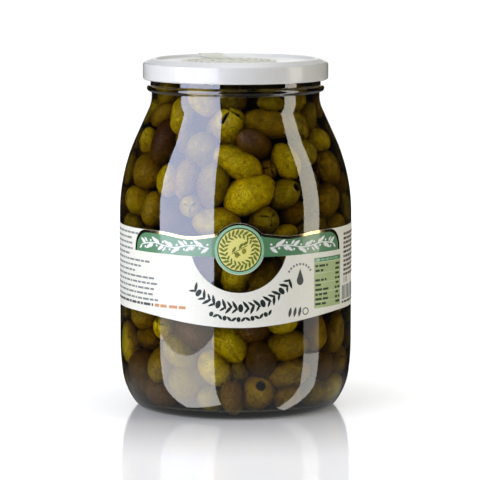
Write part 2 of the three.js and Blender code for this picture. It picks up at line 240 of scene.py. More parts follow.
# The olives whose places at the glass are known: turn from the front in degrees, height and depth
# behind the glass in millimetres, lean and turn of the cut end outwards in degrees, size, stretch,
# sort, kind and tone
FRONT_OLIVES = (
    (-66.1, 134.4, 0, 71, -20, 0.64, 1.09, "brown", 1, 0.5),
    (-43.2, 133.5, 1, 82, 0, 0.7, 1.28, "golden", 0, 0.6),
    (-71.9, 120.8, 0, 120, 45, 0.64, 1, "golden", 2, 0.6),
    (-51.3, 120.9, 0, 60, 0, 0.86, 1.07, "purple", 5, 0.5),
    (-60.7, 109.4, 0, 10, 0, 0.89, 0.9, "brown", 0, 0.5),
    (-86, 108, 0, 90, 0, 0.64, 0.96, "green", 0, 0.5),
    (-68.4, 96.7, 0, 176, 55, 0.74, 1, "golden", 3, 0.6),
    (-50.7, 93.5, 0, 74, 10, 0.74, 0.96, "brown", 6, 0.5),
    (-41.1, 106, 1.5, 77, 0, 0.7, 0.94, "golden", 0, 0.6),
    (-70.9, 84.3, 0, 0, 0, 0.7, 0.94, "green", 0, 0.5),
    (-32.8, 132.7, 4, 84, 0, 0.83, 1.03, "green", 0, 0.5),
    (-7, 129.6, 0, 38, 8, 1.2, 1.12, "golden", 4, 0.6),
    (-23.8, 117.9, 0, -68, 35, 1.08, 1, "green", 2, 0.5),
    (-24.6, 96.1, 0, 18, 60, 0.7, 1, "golden", 2, 0.6),
    (-10.2, 90.2, 0, 5, 0, 0.96, 1.09, "golden", 0, 0.6),
    (2.7, 114.3, 0, -4, 0, 0.96, 1.19, "golden", 1, 0.6),
    (-8, 102.6, 7, 80, 0, 0.83, 1.03, "purple", 0, 0.5),
    (10.8, 101.6, 0, 22, 0, 1.21, 0.98, "golden", 1, 0.95),
    (24.4, 130.8, 0, 4, 0, 0.96, 1.19, "brown", 5, 0.5),
    (15.4, 138.2, 6, 0, 0, 0.64, 1.02, "green", 0, 0.5),
    (28.9, 139.9, 2, 9, 0, 0.64, 1.04, "green", 0, 0.5),
    (55.5, 138.8, 1, 73, 0, 0.7, 0.94, "green", 1, 0.5),
    (62.9, 131.9, 0, 77, 0, 0.67, 1.13, "green", 6, 0.5),
    (64.9, 120.7, 0, 9, 30, 0.66, 1, "golden", 2, 0.6),
    (67.6, 109.4, 0, 134, 0, 0.93, 0.96, "brown", 7, 0.5),
    (59.7, 96.9, 0, 16, 10, 0.83, 0.9, "brown", 0, 0.5),
    (66.3, 86.5, 0, 2, 0, 0.74, 0.96, "brown", 0, 0.5),
    (31.9, 113.4, 0, 115, 0, 0.83, 0.97, "golden", 7, 0.6),
    (27.9, 100.4, 0, 35, 35, 0.86, 1, "green", 3, 0.5),
    (22.1, 110.1, 4, 38, 50, 0.64, 1, "brown", 2, 0.5),
    (15.2, 90.6, 0, 59, 55, 0.89, 1, "green", 2, 0.5),
    (27.5, 84.4, 2, 0, 0, 0.64, 0.96, "golden", 0, 0.6),
    (34.5, 92.9, 5, 55, 0, 0.64, 0.96, "brown", 0, 0.5),
    (10.5, 121.2, 2.5, -8, 0, 0.88, 1.25, "purple", 6, 0.5),
    (79.5, 91.2, 0, 90, 0, 0.69, 0.96, "green", 0, 0.5),
    (82.5, 100.3, 5, 90, 0, 0.64, 0.96, "brown", 0, 0.5),
    (-69.8, 141.9, 3, 0, 0, 0.64, 0.99, "green", 0, 0.5),
    (-39.9, 122.1, 5, 53, 0, 0.64, 0.96, "brown", 0, 0.5),
    (-12.6, 68.3, 0, 70, 0, 1.02, 0.9, "brown", 0, 0.1),
    (14.8, 63.8, 1.5, 21, 0, 0.96, 1.14, "brown", 0, 0.45),
    (-58.8, 44.4, 0, 5, 0, 0.76, 0.9, "brown", 0, 0.5),
    (-44, 39.8, 1, 90, 55, 0.64, 1, "golden", 2, 0.95),
    (-75.1, 29.4, 0, 106, 0, 0.78, 0.96, "golden", 7, 0.95),
    (-60.6, 34.4, 5, 16, 0, 0.7, 0.94, "brown", 6, 0.5),
    (-59.8, 18.3, 0, -36, 0, 1.08, 0.92, "purple", 0, 0.5),
    (-43.8, 23.9, 2, 104, 0, 0.76, 1.3, "brown", 1, 0.5),
    (-24, 36.5, 0, 0, 0, 0.92, 0.97, "purple", 6, 0.5),
    (-28.6, 19, 0, 13, 0, 1.08, 0.9, "green", 0, 0.5),
    (-8.7, 23.9, 1, -60, 0, 0.89, 0.9, "golden", 7, 0.6),
    (-2.5, 34.3, 1, -50, 0, 0.92, 1.02, "golden", 1, 0.6),
    (10.4, 39.2, 1, 0, 0, 0.89, 1.11, "purple", 0, 0.5),
    (25.1, 42.4, 0, 5, 0, 0.7, 0.94, "golden", 0, 0.6),
    (27.7, 31.4, 0, 7, 0, 0.92, 1.02, "brown", 6, 0.5),
    (28.6, 19.1, 0, -4, 0, 0.89, 1.06, "brown", 5, 0.5),
    (6.7, 23.4, 3, 20, 0, 0.86, 0.93, "golden", 6, 0.6),
    (11.3, 12.5, 0, 78, 22, 0.98, 0.95, "brown", 3, 0.7),
    (30.1, 12.1, 1, -9, 0, 0.76, 0.9, "brown", 0, 0.5),
    (65.3, 35.1, 0, 78, 0, 0.83, 0.96, "brown", 5, 0.5),
    (58.7, 23.1, 3, 71, 0, 0.74, 0.96, "purple", 0, 0.5),
    (69.1, 20.9, 0, 53, 50, 0.76, 1, "brown", 2, 0.5),
    (66.3, 11.5, 0, 4, 0, 0.69, 0.96, "golden", 0, 0.6),
    (57.4, 11.2, 2, 17, 0, 0.64, 0.96, "green", 0, 0.5),
    (-49.4, 12.1, 1, -17, 0, 0.76, 1.11, "purple", 0, 0.5),
    (-13.3, 11.6, 2, 5, 0, 0.7, 1.15, "green", 0, 0.5),
)

# The photograph's camera, fitted to the jar's outline: its frame, where it stands and how it looks
PHOTO_SIZE = 480
PHOTO_FOCAL = 2991.1
PHOTO_AXIS_X = 235.6
CAMERA_DISTANCE = 1.368
CAMERA_HEIGHT = 0.2389
CAMERA_PITCH = math.radians(6.788)

# How the glass and the oil bend and tint light
GLASS_IOR = 1.52
GLOSS_IOR = 1.75
OIL_IOR = 1.47
OIL_COLOUR = (0.862, 0.815, 0.0, 1)
OIL_DENSITY = 300.0
NO_GLOSS = {"Specular Tint": (0, 0, 0, 1)}
WHITE = (1, 1, 1, 1)

# Where bubbles cling to the glass: turns from the front in degrees and heights in millimetres
BUBBLE_PLACES = (
    (-38, -14, 29, 33), (-66, -46, 12, 17), (-38, -20, 13, 16), (-70, -60, 33, 37), (-10, 0, 10, 18),
    (-38, -30, 138, 143), (30, 70, 14, 44), (-70, 70, 90, 130),
)

# The studio: its table, and the levels of light from the room, the screen behind and the table
FLOOR_SIDE = 0.26
FLOOR_FRONT = -0.2
FLOOR_BACK = 1.3
ROOM_GLOW = 0.006
SCREEN_GLOW = 1.4
TABLE_GLOW = 0.16

# The side lamps: turn from the front in degrees, width in metres, and the colours of their light
# and of their reflection, above the table and below it
LAMPS = (
    ("key", -49.3, 0.87, ((0.84, 0.87, 1.0), (1.0, 0.93, 0.84)), ((0.72, 0.77, 1.0), (0.8, 0.77, 0.74))),
    ("strip", 78.6, 0.27, ((1.0, 0.96, 0.88), (1.0, 0.93, 0.84)), ((0.59, 0.56, 0.48), (0.56, 0.54, 0.5))),
)

# The parts of each lamp: bottom and height in metres, share of its light, and 1 if below the table
LAMP_PARTS = (("lamp", -0.05, 1.1, 1.0, 0), ("edge", -0.1, 0.05, 0.25, 1), ("low", -1.3, 1.2, 0.75, 1))

# How far off the side lamps and their reflections stand, the reflections' gain, and the lamp above
LAMP_DISTANCE = 0.8
GLOSS_DISTANCE = 0.79
GLOSS_GAIN = 1.25
TOP_LAMP_SIZE = 0.9
TOP_LAMP_BOTTOM = 0.9

# How bright the table's painted glow is under the jar and away from it, dimmer under the jar as painted
# shade, and where it changes, in metres
FLOOR_PAINTED_GLOWS = (0.07, 0.37)
GLOW_EDGES = (0.05, 0.15)


def rgb(red, green, blue):
    """A colour given as the eye reads it, from 0 to 255, as linear light."""
    values = []
    for level in (red, green, blue):
        share = level / 255
        values.append(share / 12.92 if share <= 0.04045 else ((share + 0.055) / 1.055) ** 2.4)
    return (*values, 1.0)


def smooth(value):
    t = min(1.0, max(0.0, value))
    return t * t * (3 - 2 * t)


class Value:
    """A node's output that takes Python's operators and adds the Math nodes they stand for."""

    def __init__(self, finish, socket):
        self.finish = finish
        self.socket = socket

    def maths(self, operation, *values):
        return self.finish.add("ShaderNodeMath", {"operation": operation}, dict(enumerate(values)))

    def __add__(self, other):
        return self.maths("ADD", self, other)

    __radd__ = __add__

    def __mul__(self, other):
        return self.maths("MULTIPLY", self, other)

    __rmul__ = __mul__

    def __sub__(self, other):
        return self.maths("SUBTRACT", self, other)

    def ramp(self, low, high, start=0.0, end=1.0, kind="SMOOTHSTEP"):
        """Runs from start to end as this runs from low to high, smoothly or by another kind."""
        return self.finish.add(
            "ShaderNodeMapRange", {"interpolation_type": kind}, {0: self, 1: low, 2: high, 3: start, 4: end},
        )


class Finish:
    """A material's or a world's node tree, with short ways to add its nodes."""

    def __init__(self, name, kind="materials"):
        self.owner = getattr(bpy.data, kind).new(name)
        self.owner.use_nodes = True
        self.tree = self.owner.node_tree
        self.tree.nodes.clear()

    def add(self, kind, settings=None, inputs=None, output=0):
        node = self.tree.nodes.new(kind)
        for name, value in (settings or {}).items():
            setattr(node, name, value)
        for name, value in (inputs or {}).items():
            if isinstance(value, Value):
                self.tree.links.new(value.socket, node.inputs[name])
            else:
                node.inputs[name].default_value = value
        return Value(self, node.outputs[output])

    def place(self, stretch=(1, 1, 1)):
        """The point on the object, in metres, stretched along each axis."""
        point = self.add("ShaderNodeTexCoord", output="Object")
        return self.add("ShaderNodeMapping", {}, {"Vector": point, "Scale": stretch})

    def grain(self, scale, detail=3.0, roughness=0.55, stretch=(1, 1, 1), distortion=0.0):
        """A noise pattern with this many waves to the metre."""
        inputs = {
            "Vector": self.place(stretch),
            "Scale": scale,
            "Detail": detail,
            "Roughness": roughness,
            "Distortion": distortion,
        }
        return self.add("ShaderNodeTexNoise", {}, inputs, "Fac")

    def painted(self, name):
        """An attribute painted on the mesh's points."""
        return self.add("ShaderNodeAttribute", {"attribute_name": name}, {}, "Fac")

    def blend(self, share, first, second):
        """From one colour to another."""
        settings = {"data_type": "RGBA", "clamp_factor": True}
        return self.add("ShaderNodeMix", settings, {0: share, 6: first, 7: second}, 2)

    def bump(self, height, distance, strength=1.0):
        inputs = {"Height": height, "Distance": distance, "Strength": strength}
        return self.add("ShaderNodeBump", {}, inputs)

    def principled(self, inputs):
        return self.add("ShaderNodeBsdfPrincipled", {}, inputs)

    def done(self, surface, volume=None, kind="Material"):
        """Closes the node tree with its output."""
        output = self.tree.nodes.new("ShaderNodeOutput" + kind)
        self.tree.links.new(surface.socket, output.inputs["Surface"])
        if volume is not None:
            self.tree.links.new(volume.socket, output.inputs["Volume"])
        return self.owner


def clear_finish(name, colour, ior, through, inputs, ripple=None, depth_tint=None):
    """A clear material that bends what is seen and lets the light of lamps and neighbours pass."""
    f = Finish(name)
    surface = f.principled({
        "Base Color": colour,
        "Roughness": 0.0,
        "IOR": ior,
        "Transmission Weight": 1.0,
        **inputs,
        **({"Normal": f.bump(f.grain(*ripple[0]), *ripple[1])} if ripple else {}),
    })
    straight = f.add("ShaderNodeBsdfTransparent", {}, {"Color": through})
    for kind in ("Is Shadow Ray", "Is Diffuse Ray"):
        share = f.add("ShaderNodeLightPath", output=kind)
        surface = f.add("ShaderNodeMixShader", {}, {0: share, 1: surface, 2: straight})
    if depth_tint:
        depth_tint = f.add("ShaderNodeVolumeAbsorption", {}, depth_tint)
    return f.done(surface, depth_tint)


def glass_finish(name="clear_glass", clear=1.0):
    """The glass, whose outer face carries all of its gloss."""
    return clear_finish(
        name, (0.97, 0.985, 0.975, 1), GLASS_IOR, (0.95 * clear, 0.965 * clear, 0.955 * clear, 1),
        {"Coat Weight": 1.0, "Coat Roughness": 0.0, "Coat IOR": GLOSS_IOR},
        ((28.0, 2.0, 0.4, (1, 1, 0.6)), (0.00035, 0.35)),
    )


def wet_glass_finish():
    """The inside of the glass, where the oil takes away its gloss."""
    return clear_finish(
        "oiled_glass", (0.98, 0.98, 0.96, 1), GLASS_IOR, WHITE, NO_GLOSS, ((40.0, 2.0, 0.4), (0.0002, 0.3)),
    )


def oil_finish():
    return clear_finish(
        "golden_oil", WHITE, OIL_IOR, WHITE, NO_GLOSS, None, {"Color": OIL_COLOUR, "Density": OIL_DENSITY},
    )


def bubble_finish():
    return clear_finish("air_bubble", WHITE, 1 / OIL_IOR, WHITE, {})


def olive_finish(name, dark, light, ripe, ripeness):
    """Olive skin: a mottled ground, a riper blush, fine wrinkles drawn dark as painted shade, freckles, and
    painted shade in the furrows, crease, star cuts and pit hole.
    """
    f = Finish(name)
    tone = f.painted("tone")
    blush = f.painted("blush")
    recess_shade = f.painted("recess_shade")
    clouds = f.grain(210.0, 4.0, 0.62)
    blotches = f.grain(420.0, 3.0, 0.6, distortion=0.6).ramp(0.5, 0.68)
    fine = f.grain(1300.0, 3.0, 0.6)
    freckles = f.grain(1700.0, 1.0, 0.5).ramp(0.66, 0.74)
    veins = f.grain(330.0, 2.0, 0.5, distortion=1.6) - 0.5
    wrinkle = (veins * veins).ramp(0.0, 0.0012, 1.0, 0.0)
    ground = f.blend((clouds * 0.9 + tone * 0.7 - 0.3).ramp(0.05, 0.95), dark, light)
    riped = f.blend((blush * 1.1 + clouds * 0.6 - 0.3 + ripeness).ramp(0.15, 0.85), ground, ripe)
    blotched = f.blend(blotches * 0.45, riped, ripe)
    # Dark lines along the fine wrinkles, in the valleys of their relief: painted shade
    wrinkle_shaded = f.blend(wrinkle * 0.2, blotched, (0.02, 0.012, 0.002, 1))
    freckled = f.blend(freckles * 0.3, wrinkle_shaded, (0.02, 0.012, 0.003, 1))
    # Darkened by the points' painted attribute: painted shade in the furrows, crease, star cuts and pit hole
    recess_shaded = f.blend(recess_shade.ramp(0.05, 0.85), freckled, (0.008, 0.005, 0.001, 1))
    skin = f.principled({
        "Base Color": recess_shaded,
        "Roughness": fine * 0.2 + 0.36,
        "IOR": 1.46,
        "Specular IOR Level": 0.14,
        "Normal": f.bump(clouds * 0.8 + fine * 0.3 - wrinkle * 0.5, 0.0011, 0.9),
    })
    return f.done(skin)


# A dark solid as painted shade for the olives deep in the heap
def shade_core_finish():
    f = Finish("painted_shade_core")
    clouds = f.grain(120.0, 4.0, 0.6)
    colour = f.blend(clouds.ramp(0.3, 0.7), (0.008, 0.006, 0.0015, 1), (0.022, 0.017, 0.003, 1))
    return f.done(f.principled({"Base Color": colour, "Roughness": 0.9}))


def enamel_finish(name, shade, gloss):
    """White enamel on steel: glossy on the skirt, duller on the top."""
    f = Finish(name)
    patch = f.grain(60.0, 3.0, 0.5)
    peel = f.grain(1400.0, 2.0, 0.5)
    white = (shade, shade, shade * 0.96, 1)
    worn = (shade * 0.97, shade * 0.97, shade * 0.93, 1)
    return f.done(f.principled({
        "Base Color": f.blend(patch.ramp(0.3, 0.7), worn, white),
        "Roughness": patch * 0.08 + 0.28,
        "IOR": 1.4,
        "Coat Weight": gloss,
        "Coat Roughness": 0.04,
        "Coat IOR": 1.5,
        "Normal": f.bump(peel, 0.00002, 0.5),
    }))


def paper_finish(name, colour, rough=0.42, fibre=0.06, varnish=0.0):
    """Coated paper or ink on it, with or without varnish: a close fibre in colour and relief."""
    f = Finish(name)
    pulp = f.grain(900.0, 4.0, 0.65)
    cloud = f.grain(90.0, 2.0, 0.5)
    shade = f.blend(
        (pulp * 0.6 + cloud * 0.4).ramp(0.25, 0.75),
        tuple(c * (1 - fibre) for c in colour[:3]) + (1,),
        colour,
    )
    return f.done(f.principled({
        "Base Color": shade,
        "Roughness": pulp * 0.12 + rough,
        "IOR": 1.45,
        "Coat Weight": varnish,
        "Coat Roughness": 0.1,
        "Coat IOR": 1.65,
        "Normal": f.bump(pulp, 0.00003, 0.4),
    }))


def foil_finish():
    f = Finish("gold_foil")
    crease = f.grain(700.0, 3.0, 0.6)
    colour = f.blend(crease.ramp(0.3, 0.7), (0.83, 0.6, 0.25, 1), (0.95, 0.78, 0.42, 1))
    return f.done(f.principled({
        "Base Color": colour,
        "Metallic": 1.0,
        "Roughness": crease * 0.12 + 0.08,
        "Normal": f.bump(crease, 0.00002, 0.3),
    }))


def floor_finish(colour):
    """White acrylic with a painted glow, dimmer under the jar as painted shade."""
    f = Finish("studio_floor")
    point = f.add("ShaderNodeTexCoord", output="Object")
    away = f.add("ShaderNodeVectorMath", {"operation": "LENGTH"}, {0: point}, "Value")
    # Painted glow, dimmer under the jar as painted shade
    painted_glow = f.blend(away.ramp(*GLOW_EDGES), *((level, level, level, 1) for level in FLOOR_PAINTED_GLOWS))
    return f.done(f.principled({
        "Base Color": colour,
        "Roughness": 0.1,
        "IOR": 1.5,
        "Emission Color": painted_glow,
        "Emission Strength": 1.0,
    }))


def put(name, bm, materials, replaced=(), smooth_faces=True):
    """Makes a finished shape a piece of the jar, with its materials and body, smooth or flat, and hides the
    parts it replaces.
    """
    mesh = to_mesh(bm, name)
    for material in materials:
        mesh.materials.append(material)
    mesh.polygons.foreach_set("use_smooth", [smooth_faces] * len(mesh.polygons))
    piece = bpy.data.objects.new(name, mesh)
    bpy.context.scene.collection.objects.link(piece)
    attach(piece, ROOT)
    if replaced:
        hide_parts(*replaced)


def to_mesh(bm, name):
    mesh = bpy.data.meshes.new(name)
    bm.to_mesh(mesh)
    bm.free()
    return mesh


def revolve(bm, outline, steps):
    """Spins a closed outline of (radius, height), in millimetres, about the jar's axis."""
    verts = [bm.verts.new((radius * MM, 0, height * MM)) for radius, height in outline]
    edges = [bm.edges.new(pair) for pair in zip(verts, verts[1:])]
    if outline[0][0] > 0:
        edges.append(bm.edges.new((verts[-1], verts[0])))
    bmesh.ops.spin(
        bm, geom=verts + edges, axis=(0, 0, 1), cent=(0, 0, 0), angle=2 * math.pi,
        steps=steps, use_merge=True, use_normal_flip=False, use_duplicate=False,
    )
    bmesh.ops.remove_doubles(bm, verts=bm.verts, dist=1e-7)
    bmesh.ops.recalc_face_normals(bm, faces=bm.faces)


def arc_run(start, heading, arcs, step_degrees):
    """A run of arcs of (radius, turn in degrees) from a point, bending upwards."""
    points = [start]
    radius, height = start
    angle = heading
    for bend, turn in arcs:
        steps = max(1, round(abs(turn) / step_degrees))
        step = math.radians(turn) / steps
        chord = 2 * bend * math.sin(abs(step) / 2)
        for _ in range(steps):
            radius += chord * math.cos(angle + step / 2)
            height += chord * math.sin(angle + step / 2)
            angle += step
            points.append((radius, height))
    return points


def body_outline(inset, step_degrees=2.0):
    """The body's side from the foot to the neck, moved in from the outside by inset."""
    heel_arcs = [(bend - inset, turn) for bend, turn in HEEL_ARCS]
    run = arc_run((0, 0), 0, heel_arcs, step_degrees)
    foot_edge = BODY_RADIUS - inset - run[-1][0]
    heel = [(radius + foot_edge, height + inset) for radius, height in run]
    bend, turn = SHOULDER_ARC
    start = (BODY_RADIUS - inset, SHOULDER_START)
    shoulder = arc_run(start, math.pi / 2, [(bend - inset, turn)], step_degrees / 2)
    slope = math.radians(90 + turn)
    slope_radius, slope_height = shoulder[-1]
    slope_end = (
        slope_radius + SHOULDER_SLOPE_LENGTH * math.cos(slope),
        slope_height + SHOULDER_SLOPE_LENGTH * math.sin(slope),
    )
    neck = arc_run(slope_end, slope, [(NECK_FILLET_RADIUS + inset, -turn)], step_degrees)
    return heel + shoulder + neck


def round_corner(points, radius, steps=4):
    """Rounds every inner corner of an outline with a small arc, where its sides have room."""
    out = [points[0]]
    for before, at, after in zip(points, points[1:], points[2:]):
        a, b, c = Vector(before), Vector(at), Vector(after)
        back, on = (a - b), (c - b)
        reach = min(radius, back.length * 0.45, on.length * 0.45)
        start, end = b + back.normalized() * reach, b + on.normalized() * reach
        for i in range(steps + 1):
            t = i / steps
            point = start.lerp(b, t).lerp(b.lerp(end, t), t)
            out.append((point.x, point.y))
    out.append(points[-1])
    return out


def jar_outline():
    """The glass in section: the underside, the outside, the finish, and the inside down again."""
    outside = body_outline(0)
    inside = [p for p in body_outline(WALL) if p[1] > FLOOR_HEIGHT + 1.5]
    foot_edge = outside[0][0]
    neck = outside[-1][0]
    bead = arc_points(
        (BEAD_RADIUS - BEAD_HALF_THICKNESS, BEAD_HEIGHT), BEAD_HALF_THICKNESS, -80, 80, 10,
    )
    low_bead = BEAD_HEIGHT - BEAD_HALF_THICKNESS
    high_bead = BEAD_HEIGHT + BEAD_HALF_THICKNESS
    finish = round_corner(
        [(neck, low_bead - 2), (neck, low_bead - 0.1), (BEAD_RADIUS - 1.4, low_bead + 0.05)], 0.7,
    ) + bead + round_corner([
        (BEAD_RADIUS - 1.4, high_bead - 0.05), (FINISH_RADIUS, high_bead + 0.3), (FINISH_RADIUS, RIM_TOP - 4),
    ], 0.6)
    rim = round_corner([
        (FINISH_RADIUS, RIM_TOP - 3), (FINISH_RADIUS, RIM_TOP),
        (MOUTH_RADIUS, RIM_TOP), (MOUTH_RADIUS, RIM_TOP - 3),
    ], 1.2)
    floor_edge = inside[0][0]
    floor = round_corner([
        inside[0], (floor_edge - 2.6, FLOOR_HEIGHT), (floor_edge - 12, FLOOR_HEIGHT), (0, FLOOR_HEIGHT + 0.8),
    ], 2.5)
    stand = foot_edge - FOOT_WIDTH
    underside = round_corner(
        [(0, PUNT_HEIGHT), (stand * 0.6, PUNT_HEIGHT * 0.72), (stand, 0), (foot_edge - 1, 0)], 1.5,
    )
    mouth = [(MOUTH_RADIUS, BEAD_HEIGHT)]
    return underside + outside + finish + rim + mouth + inside[::-1] + floor[1:]


def inside_outline(reach):
    """The inside of the glass up to the mouth, moved outwards by reach."""
    points = [p for p in body_outline(WALL - reach) if p[1] > FLOOR_HEIGHT + 1.5]
    floor = [(points[0][0] - 2.6 + reach, FLOOR_HEIGHT - reach), (0, FLOOR_HEIGHT + 0.8 - reach)]
    neck = min(points[-1][0], MOUTH_RADIUS + reach)
    return floor[::-1] + points + [(neck, BEAD_HEIGHT)]


def label_top(along):
    """Height of the label's top edge at a distance along the glass."""
    u = abs(along)
    dip = LABEL_TOP_DIP * (1 - smooth(abs(u - LABEL_DIP_AT) / LABEL_DIP_WIDTH))
    straight = LABEL_TOP - dip
    rounded = BADGE_HEIGHT + math.sqrt(BADGE_RADIUS**2 - u**2) if u < BADGE_RADIUS else 0
    lift = max(0, BADGE_BLEND - abs(straight - rounded)) / BADGE_BLEND
    return max(straight, rounded) + BADGE_BLEND * lift**2 / 4


def label_low(along):
    return LABEL_LOW_MIDDLE + (LABEL_LOW_SIDES - LABEL_LOW_MIDDLE) * smooth(abs(along) / LABEL_LOW_REACH)


def steps_between(start, end, step):
    count = max(1, round(abs(end - start) / step))
    return [start + (end - start) * i / count for i in range(count + 1)]


def around(turn, radius, height):
    """A place round the jar's axis, its turn from the front in radians."""
    return Vector((radius * math.sin(turn), -radius * math.cos(turn), height))


def polar(centre, radius, degrees):
    angle = math.radians(degrees)
    return centre[0] + radius * math.cos(angle), centre[1] + radius * math.sin(angle)


def arc_points(centre, radius, start, end, step=4):
    """Points on an arc, with angles in degrees."""
    return [polar(centre, radius, degrees) for degrees in steps_between(start, end, step)]


def fill(bm, *loops):
    """Fills closed loops of (along, up) points; a loop inside another is a hole."""
    edges = []
    for loop in loops:
        verts = [bm.verts.new((x, y, 0)) for x, y in loop]
        edges += [bm.edges.new(pair) for pair in zip(verts, verts[1:] + verts[:1])]
    bmesh.ops.triangle_fill(bm, use_beauty=True, use_dissolve=False, edges=edges)


def slice_across(bm, places, axis):
    """Cuts a flat shape across an axis, 0 or 1, at each of the places."""
    normal = Vector((1 - axis, axis, 0))
    for place in places:
        geom = bm.verts[:] + bm.edges[:] + bm.faces[:]
        bmesh.ops.bisect_plane(bm, geom=geom, dist=1e-4, plane_co=normal * place, plane_no=normal)


def thicken(bm, thickness):
    """Gives a flat shape its thickness, upwards."""
    raised = bmesh.ops.extrude_face_region(bm, geom=bm.faces[:], use_keep_orig=True)["geom"]
    top = [item for item in raised if isinstance(item, bmesh.types.BMVert)]
    bmesh.ops.translate(bm, verts=top, vec=(0, 0, thickness))


def paste(bm, low, thickness):
    """Cuts flat shapes into strips, gives them their thickness and bends them round the glass."""
    reach = max((abs(v.co.x) for v in bm.verts), default=0)
    bends = int(reach / BEND_STEP)
    slice_across(bm, [i * BEND_STEP for i in range(-bends, bends + 1)], 0)
    thicken(bm, thickness)
    for v in bm.verts:
        v.co = around(v.co.x / BODY_RADIUS + LABEL_TURN, BODY_RADIUS + low + v.co.z, v.co.y) * MM
    bmesh.ops.recalc_face_normals(bm, faces=bm.faces)


def window_loop():
    """The half-moon window, whose upper side runs round the badge."""
    half = math.sqrt(WINDOW_RADIUS**2 - (WINDOW_CENTRE - WINDOW_TOP) ** 2)
    badge_half = math.sqrt(WINDOW_BADGE_RADIUS**2 - (BADGE_HEIGHT - WINDOW_TOP) ** 2)
    wide = math.degrees(math.atan2(WINDOW_TOP - WINDOW_CENTRE, half))
    narrow = math.degrees(math.atan2(WINDOW_TOP - BADGE_HEIGHT, badge_half))
    outer = arc_points((0, WINDOW_CENTRE), WINDOW_RADIUS, 180 - wide, 360 + wide)
    inner = arc_points((0, BADGE_HEIGHT), WINDOW_BADGE_RADIUS, 360 + narrow, 180 - narrow)
    return outer + inner


def paper_loop():
    """The paper's outline, laid flat."""
    half = LABEL_LENGTH / 2
    along = steps_between(-half, half, 1.0)
    return [(x, label_low(x)) for x in along] + [(x, label_top(x)) for x in reversed(along)]


class Print:
    """Flat print, one bmesh for each ink, placed in millimetres from the label's middle and foot."""

    def __init__(self):
        self.inks = {}

    def ink(self, name):
        if name not in self.inks:
            self.inks[name] = bmesh.new()
        return self.inks[name]

    def area(self, name, *loops):
        fill(self.ink(name), *loops)

    def bar(self, name, left, low, width, height):
        matrix = Matrix.Translation((left + width / 2, low + height / 2, 0))
        matrix = matrix @ Matrix.Diagonal((width / 2, height / 2, 1, 1))
        bmesh.ops.create_grid(self.ink(name), x_segments=1, y_segments=1, size=1, matrix=matrix)

    def dot(self, name, centre, width, height, turn=0.0, segments=14, tip=0.0):
        """An oval, or with a tip a leaf that narrows to a point at both ends."""
        made = bmesh.ops.create_circle(self.ink(name), cap_ends=True, segments=segments, radius=1)
        for v in made["verts"]:
            v.co.y *= 1 - tip * v.co.x * v.co.x
        matrix = Matrix.Translation((centre[0], centre[1], 0)) @ Matrix.Rotation(turn, 4, "Z")
        matrix = matrix @ Matrix.Diagonal((width / 2, height / 2, 1, 1))
        bmesh.ops.transform(self.ink(name), matrix=matrix, verts=made["verts"])

    def wreath(self, name, centre, radius, count, length, width, lean, segments, tip=0.0):
        """A ring of ovals or leaves that lean from the way out."""
        for i in range(count):
            place = polar(centre, radius, 360 * i / count)
            self.dot(name, place, length, width, 2 * math.pi * i / count + lean, segments, tip)

    def words(self, name, draw, left, right, low, height):
        """A line of short bars, as small print looks from a step away."""
        x = left
        while x < right - 1:
            width = min(1.4 + 3.6 * draw(), right - x)
            self.bar(name, x, low, width, height)
            x += width + 0.7


def make_draw(seed):
    """Repeatable draws between 0 and 1."""
    state = [seed]

    def draw():
        state[0] = (state[0] * 1664525 + 1013904223) % 4294967296
        return state[0] / 4294967296

    return draw


def band_side(sign, edge):
    """Half of the green band or of the foil round it, from the badge out to its end."""
    corner = BAND_HALF - edge - BAND_CORNER
    top = label_top(BAND_HALF - edge) - edge
    points = [(sign * x, label_top(x) - edge - 0.05) for x in steps_between(6, corner, 1.0)]
    for degrees in steps_between(90, 0, 10)[1:]:
        out = polar((corner, 0), BAND_CORNER, degrees)[0]
        up = math.sin(math.radians(degrees)) ** 0.85
        points.append((sign * out, BAND_LOW + (top - BAND_LOW) * up))
    return points


def sprig_height(along):
    """Height of the white sprig's stem at a distance from the label's middle."""
    return SPRIG_HEIGHT + 0.7 * math.sin(1.1 * (along - SPRIG_START) / SPRIG_STEP)


def print_band(sheet):
    """The green band with its gold foil edge and white sprigs, either side of the badge."""
    for sign in (-1, 1):
        foil = band_side(sign, 0)
        green = band_side(sign, FOIL)
        sheet.area("foil", foil + green[::-1])
        low = [(sign * x, BAND_LOW - 0.35 * smooth((40 - x) / 30)) for x in (45, 35, 25, 15, 6)]
        sheet.area("green", green + low)
        for i in range(10):
            along = SPRIG_START + SPRIG_STEP * i
            x, y = sign * along, sprig_height(along)
            side = 1 if i % 2 else -1
            lean = sign * side * 0.6
            sheet.dot("white", (x, y + 1.35 * side), 4.5, 1.6, lean, 16, 0.5)
            sheet.dot("white", (x + 1.9 * sign, y - 1.3 * side), 2.8, 1.1, -lean * 1.3, 14, 0.5)
            sheet.dot("white", (x - 1.2 * sign, y - 1.2 * side), 1.1, 1.1)
        stem = steps_between(14, 50, 1.5)
        upper, lower = ([(sign * x, sprig_height(x) + rise) for x in stem] for rise in (0.25, -0.25))
        sheet.area("white", upper + lower[::-1])


def ring(centre, outer, inner):
    """The two loops of a ring."""
    return [arc_points(centre, radius, 0, 360, 4)[:-1] for radius in (outer, inner)]


def print_badge(sheet):
    """The round badge: foil above, a pale green ring, a dark line and a yellow field."""
    centre = (0, BADGE_HEIGHT)
    outer, inner = (arc_points(centre, radius, 32, 148) for radius in (BADGE_RADIUS - 0.05, 11.0))
    sheet.area("foil", outer + inner[::-1])
    sheet.area("pale_green", *ring(centre, 11.0, 9.85))
    sheet.area("dark", *ring(centre, 9.85, 9.35))
    sheet.area("yellow", arc_points(centre, 9.35, 0, 360, 5)[:-1])


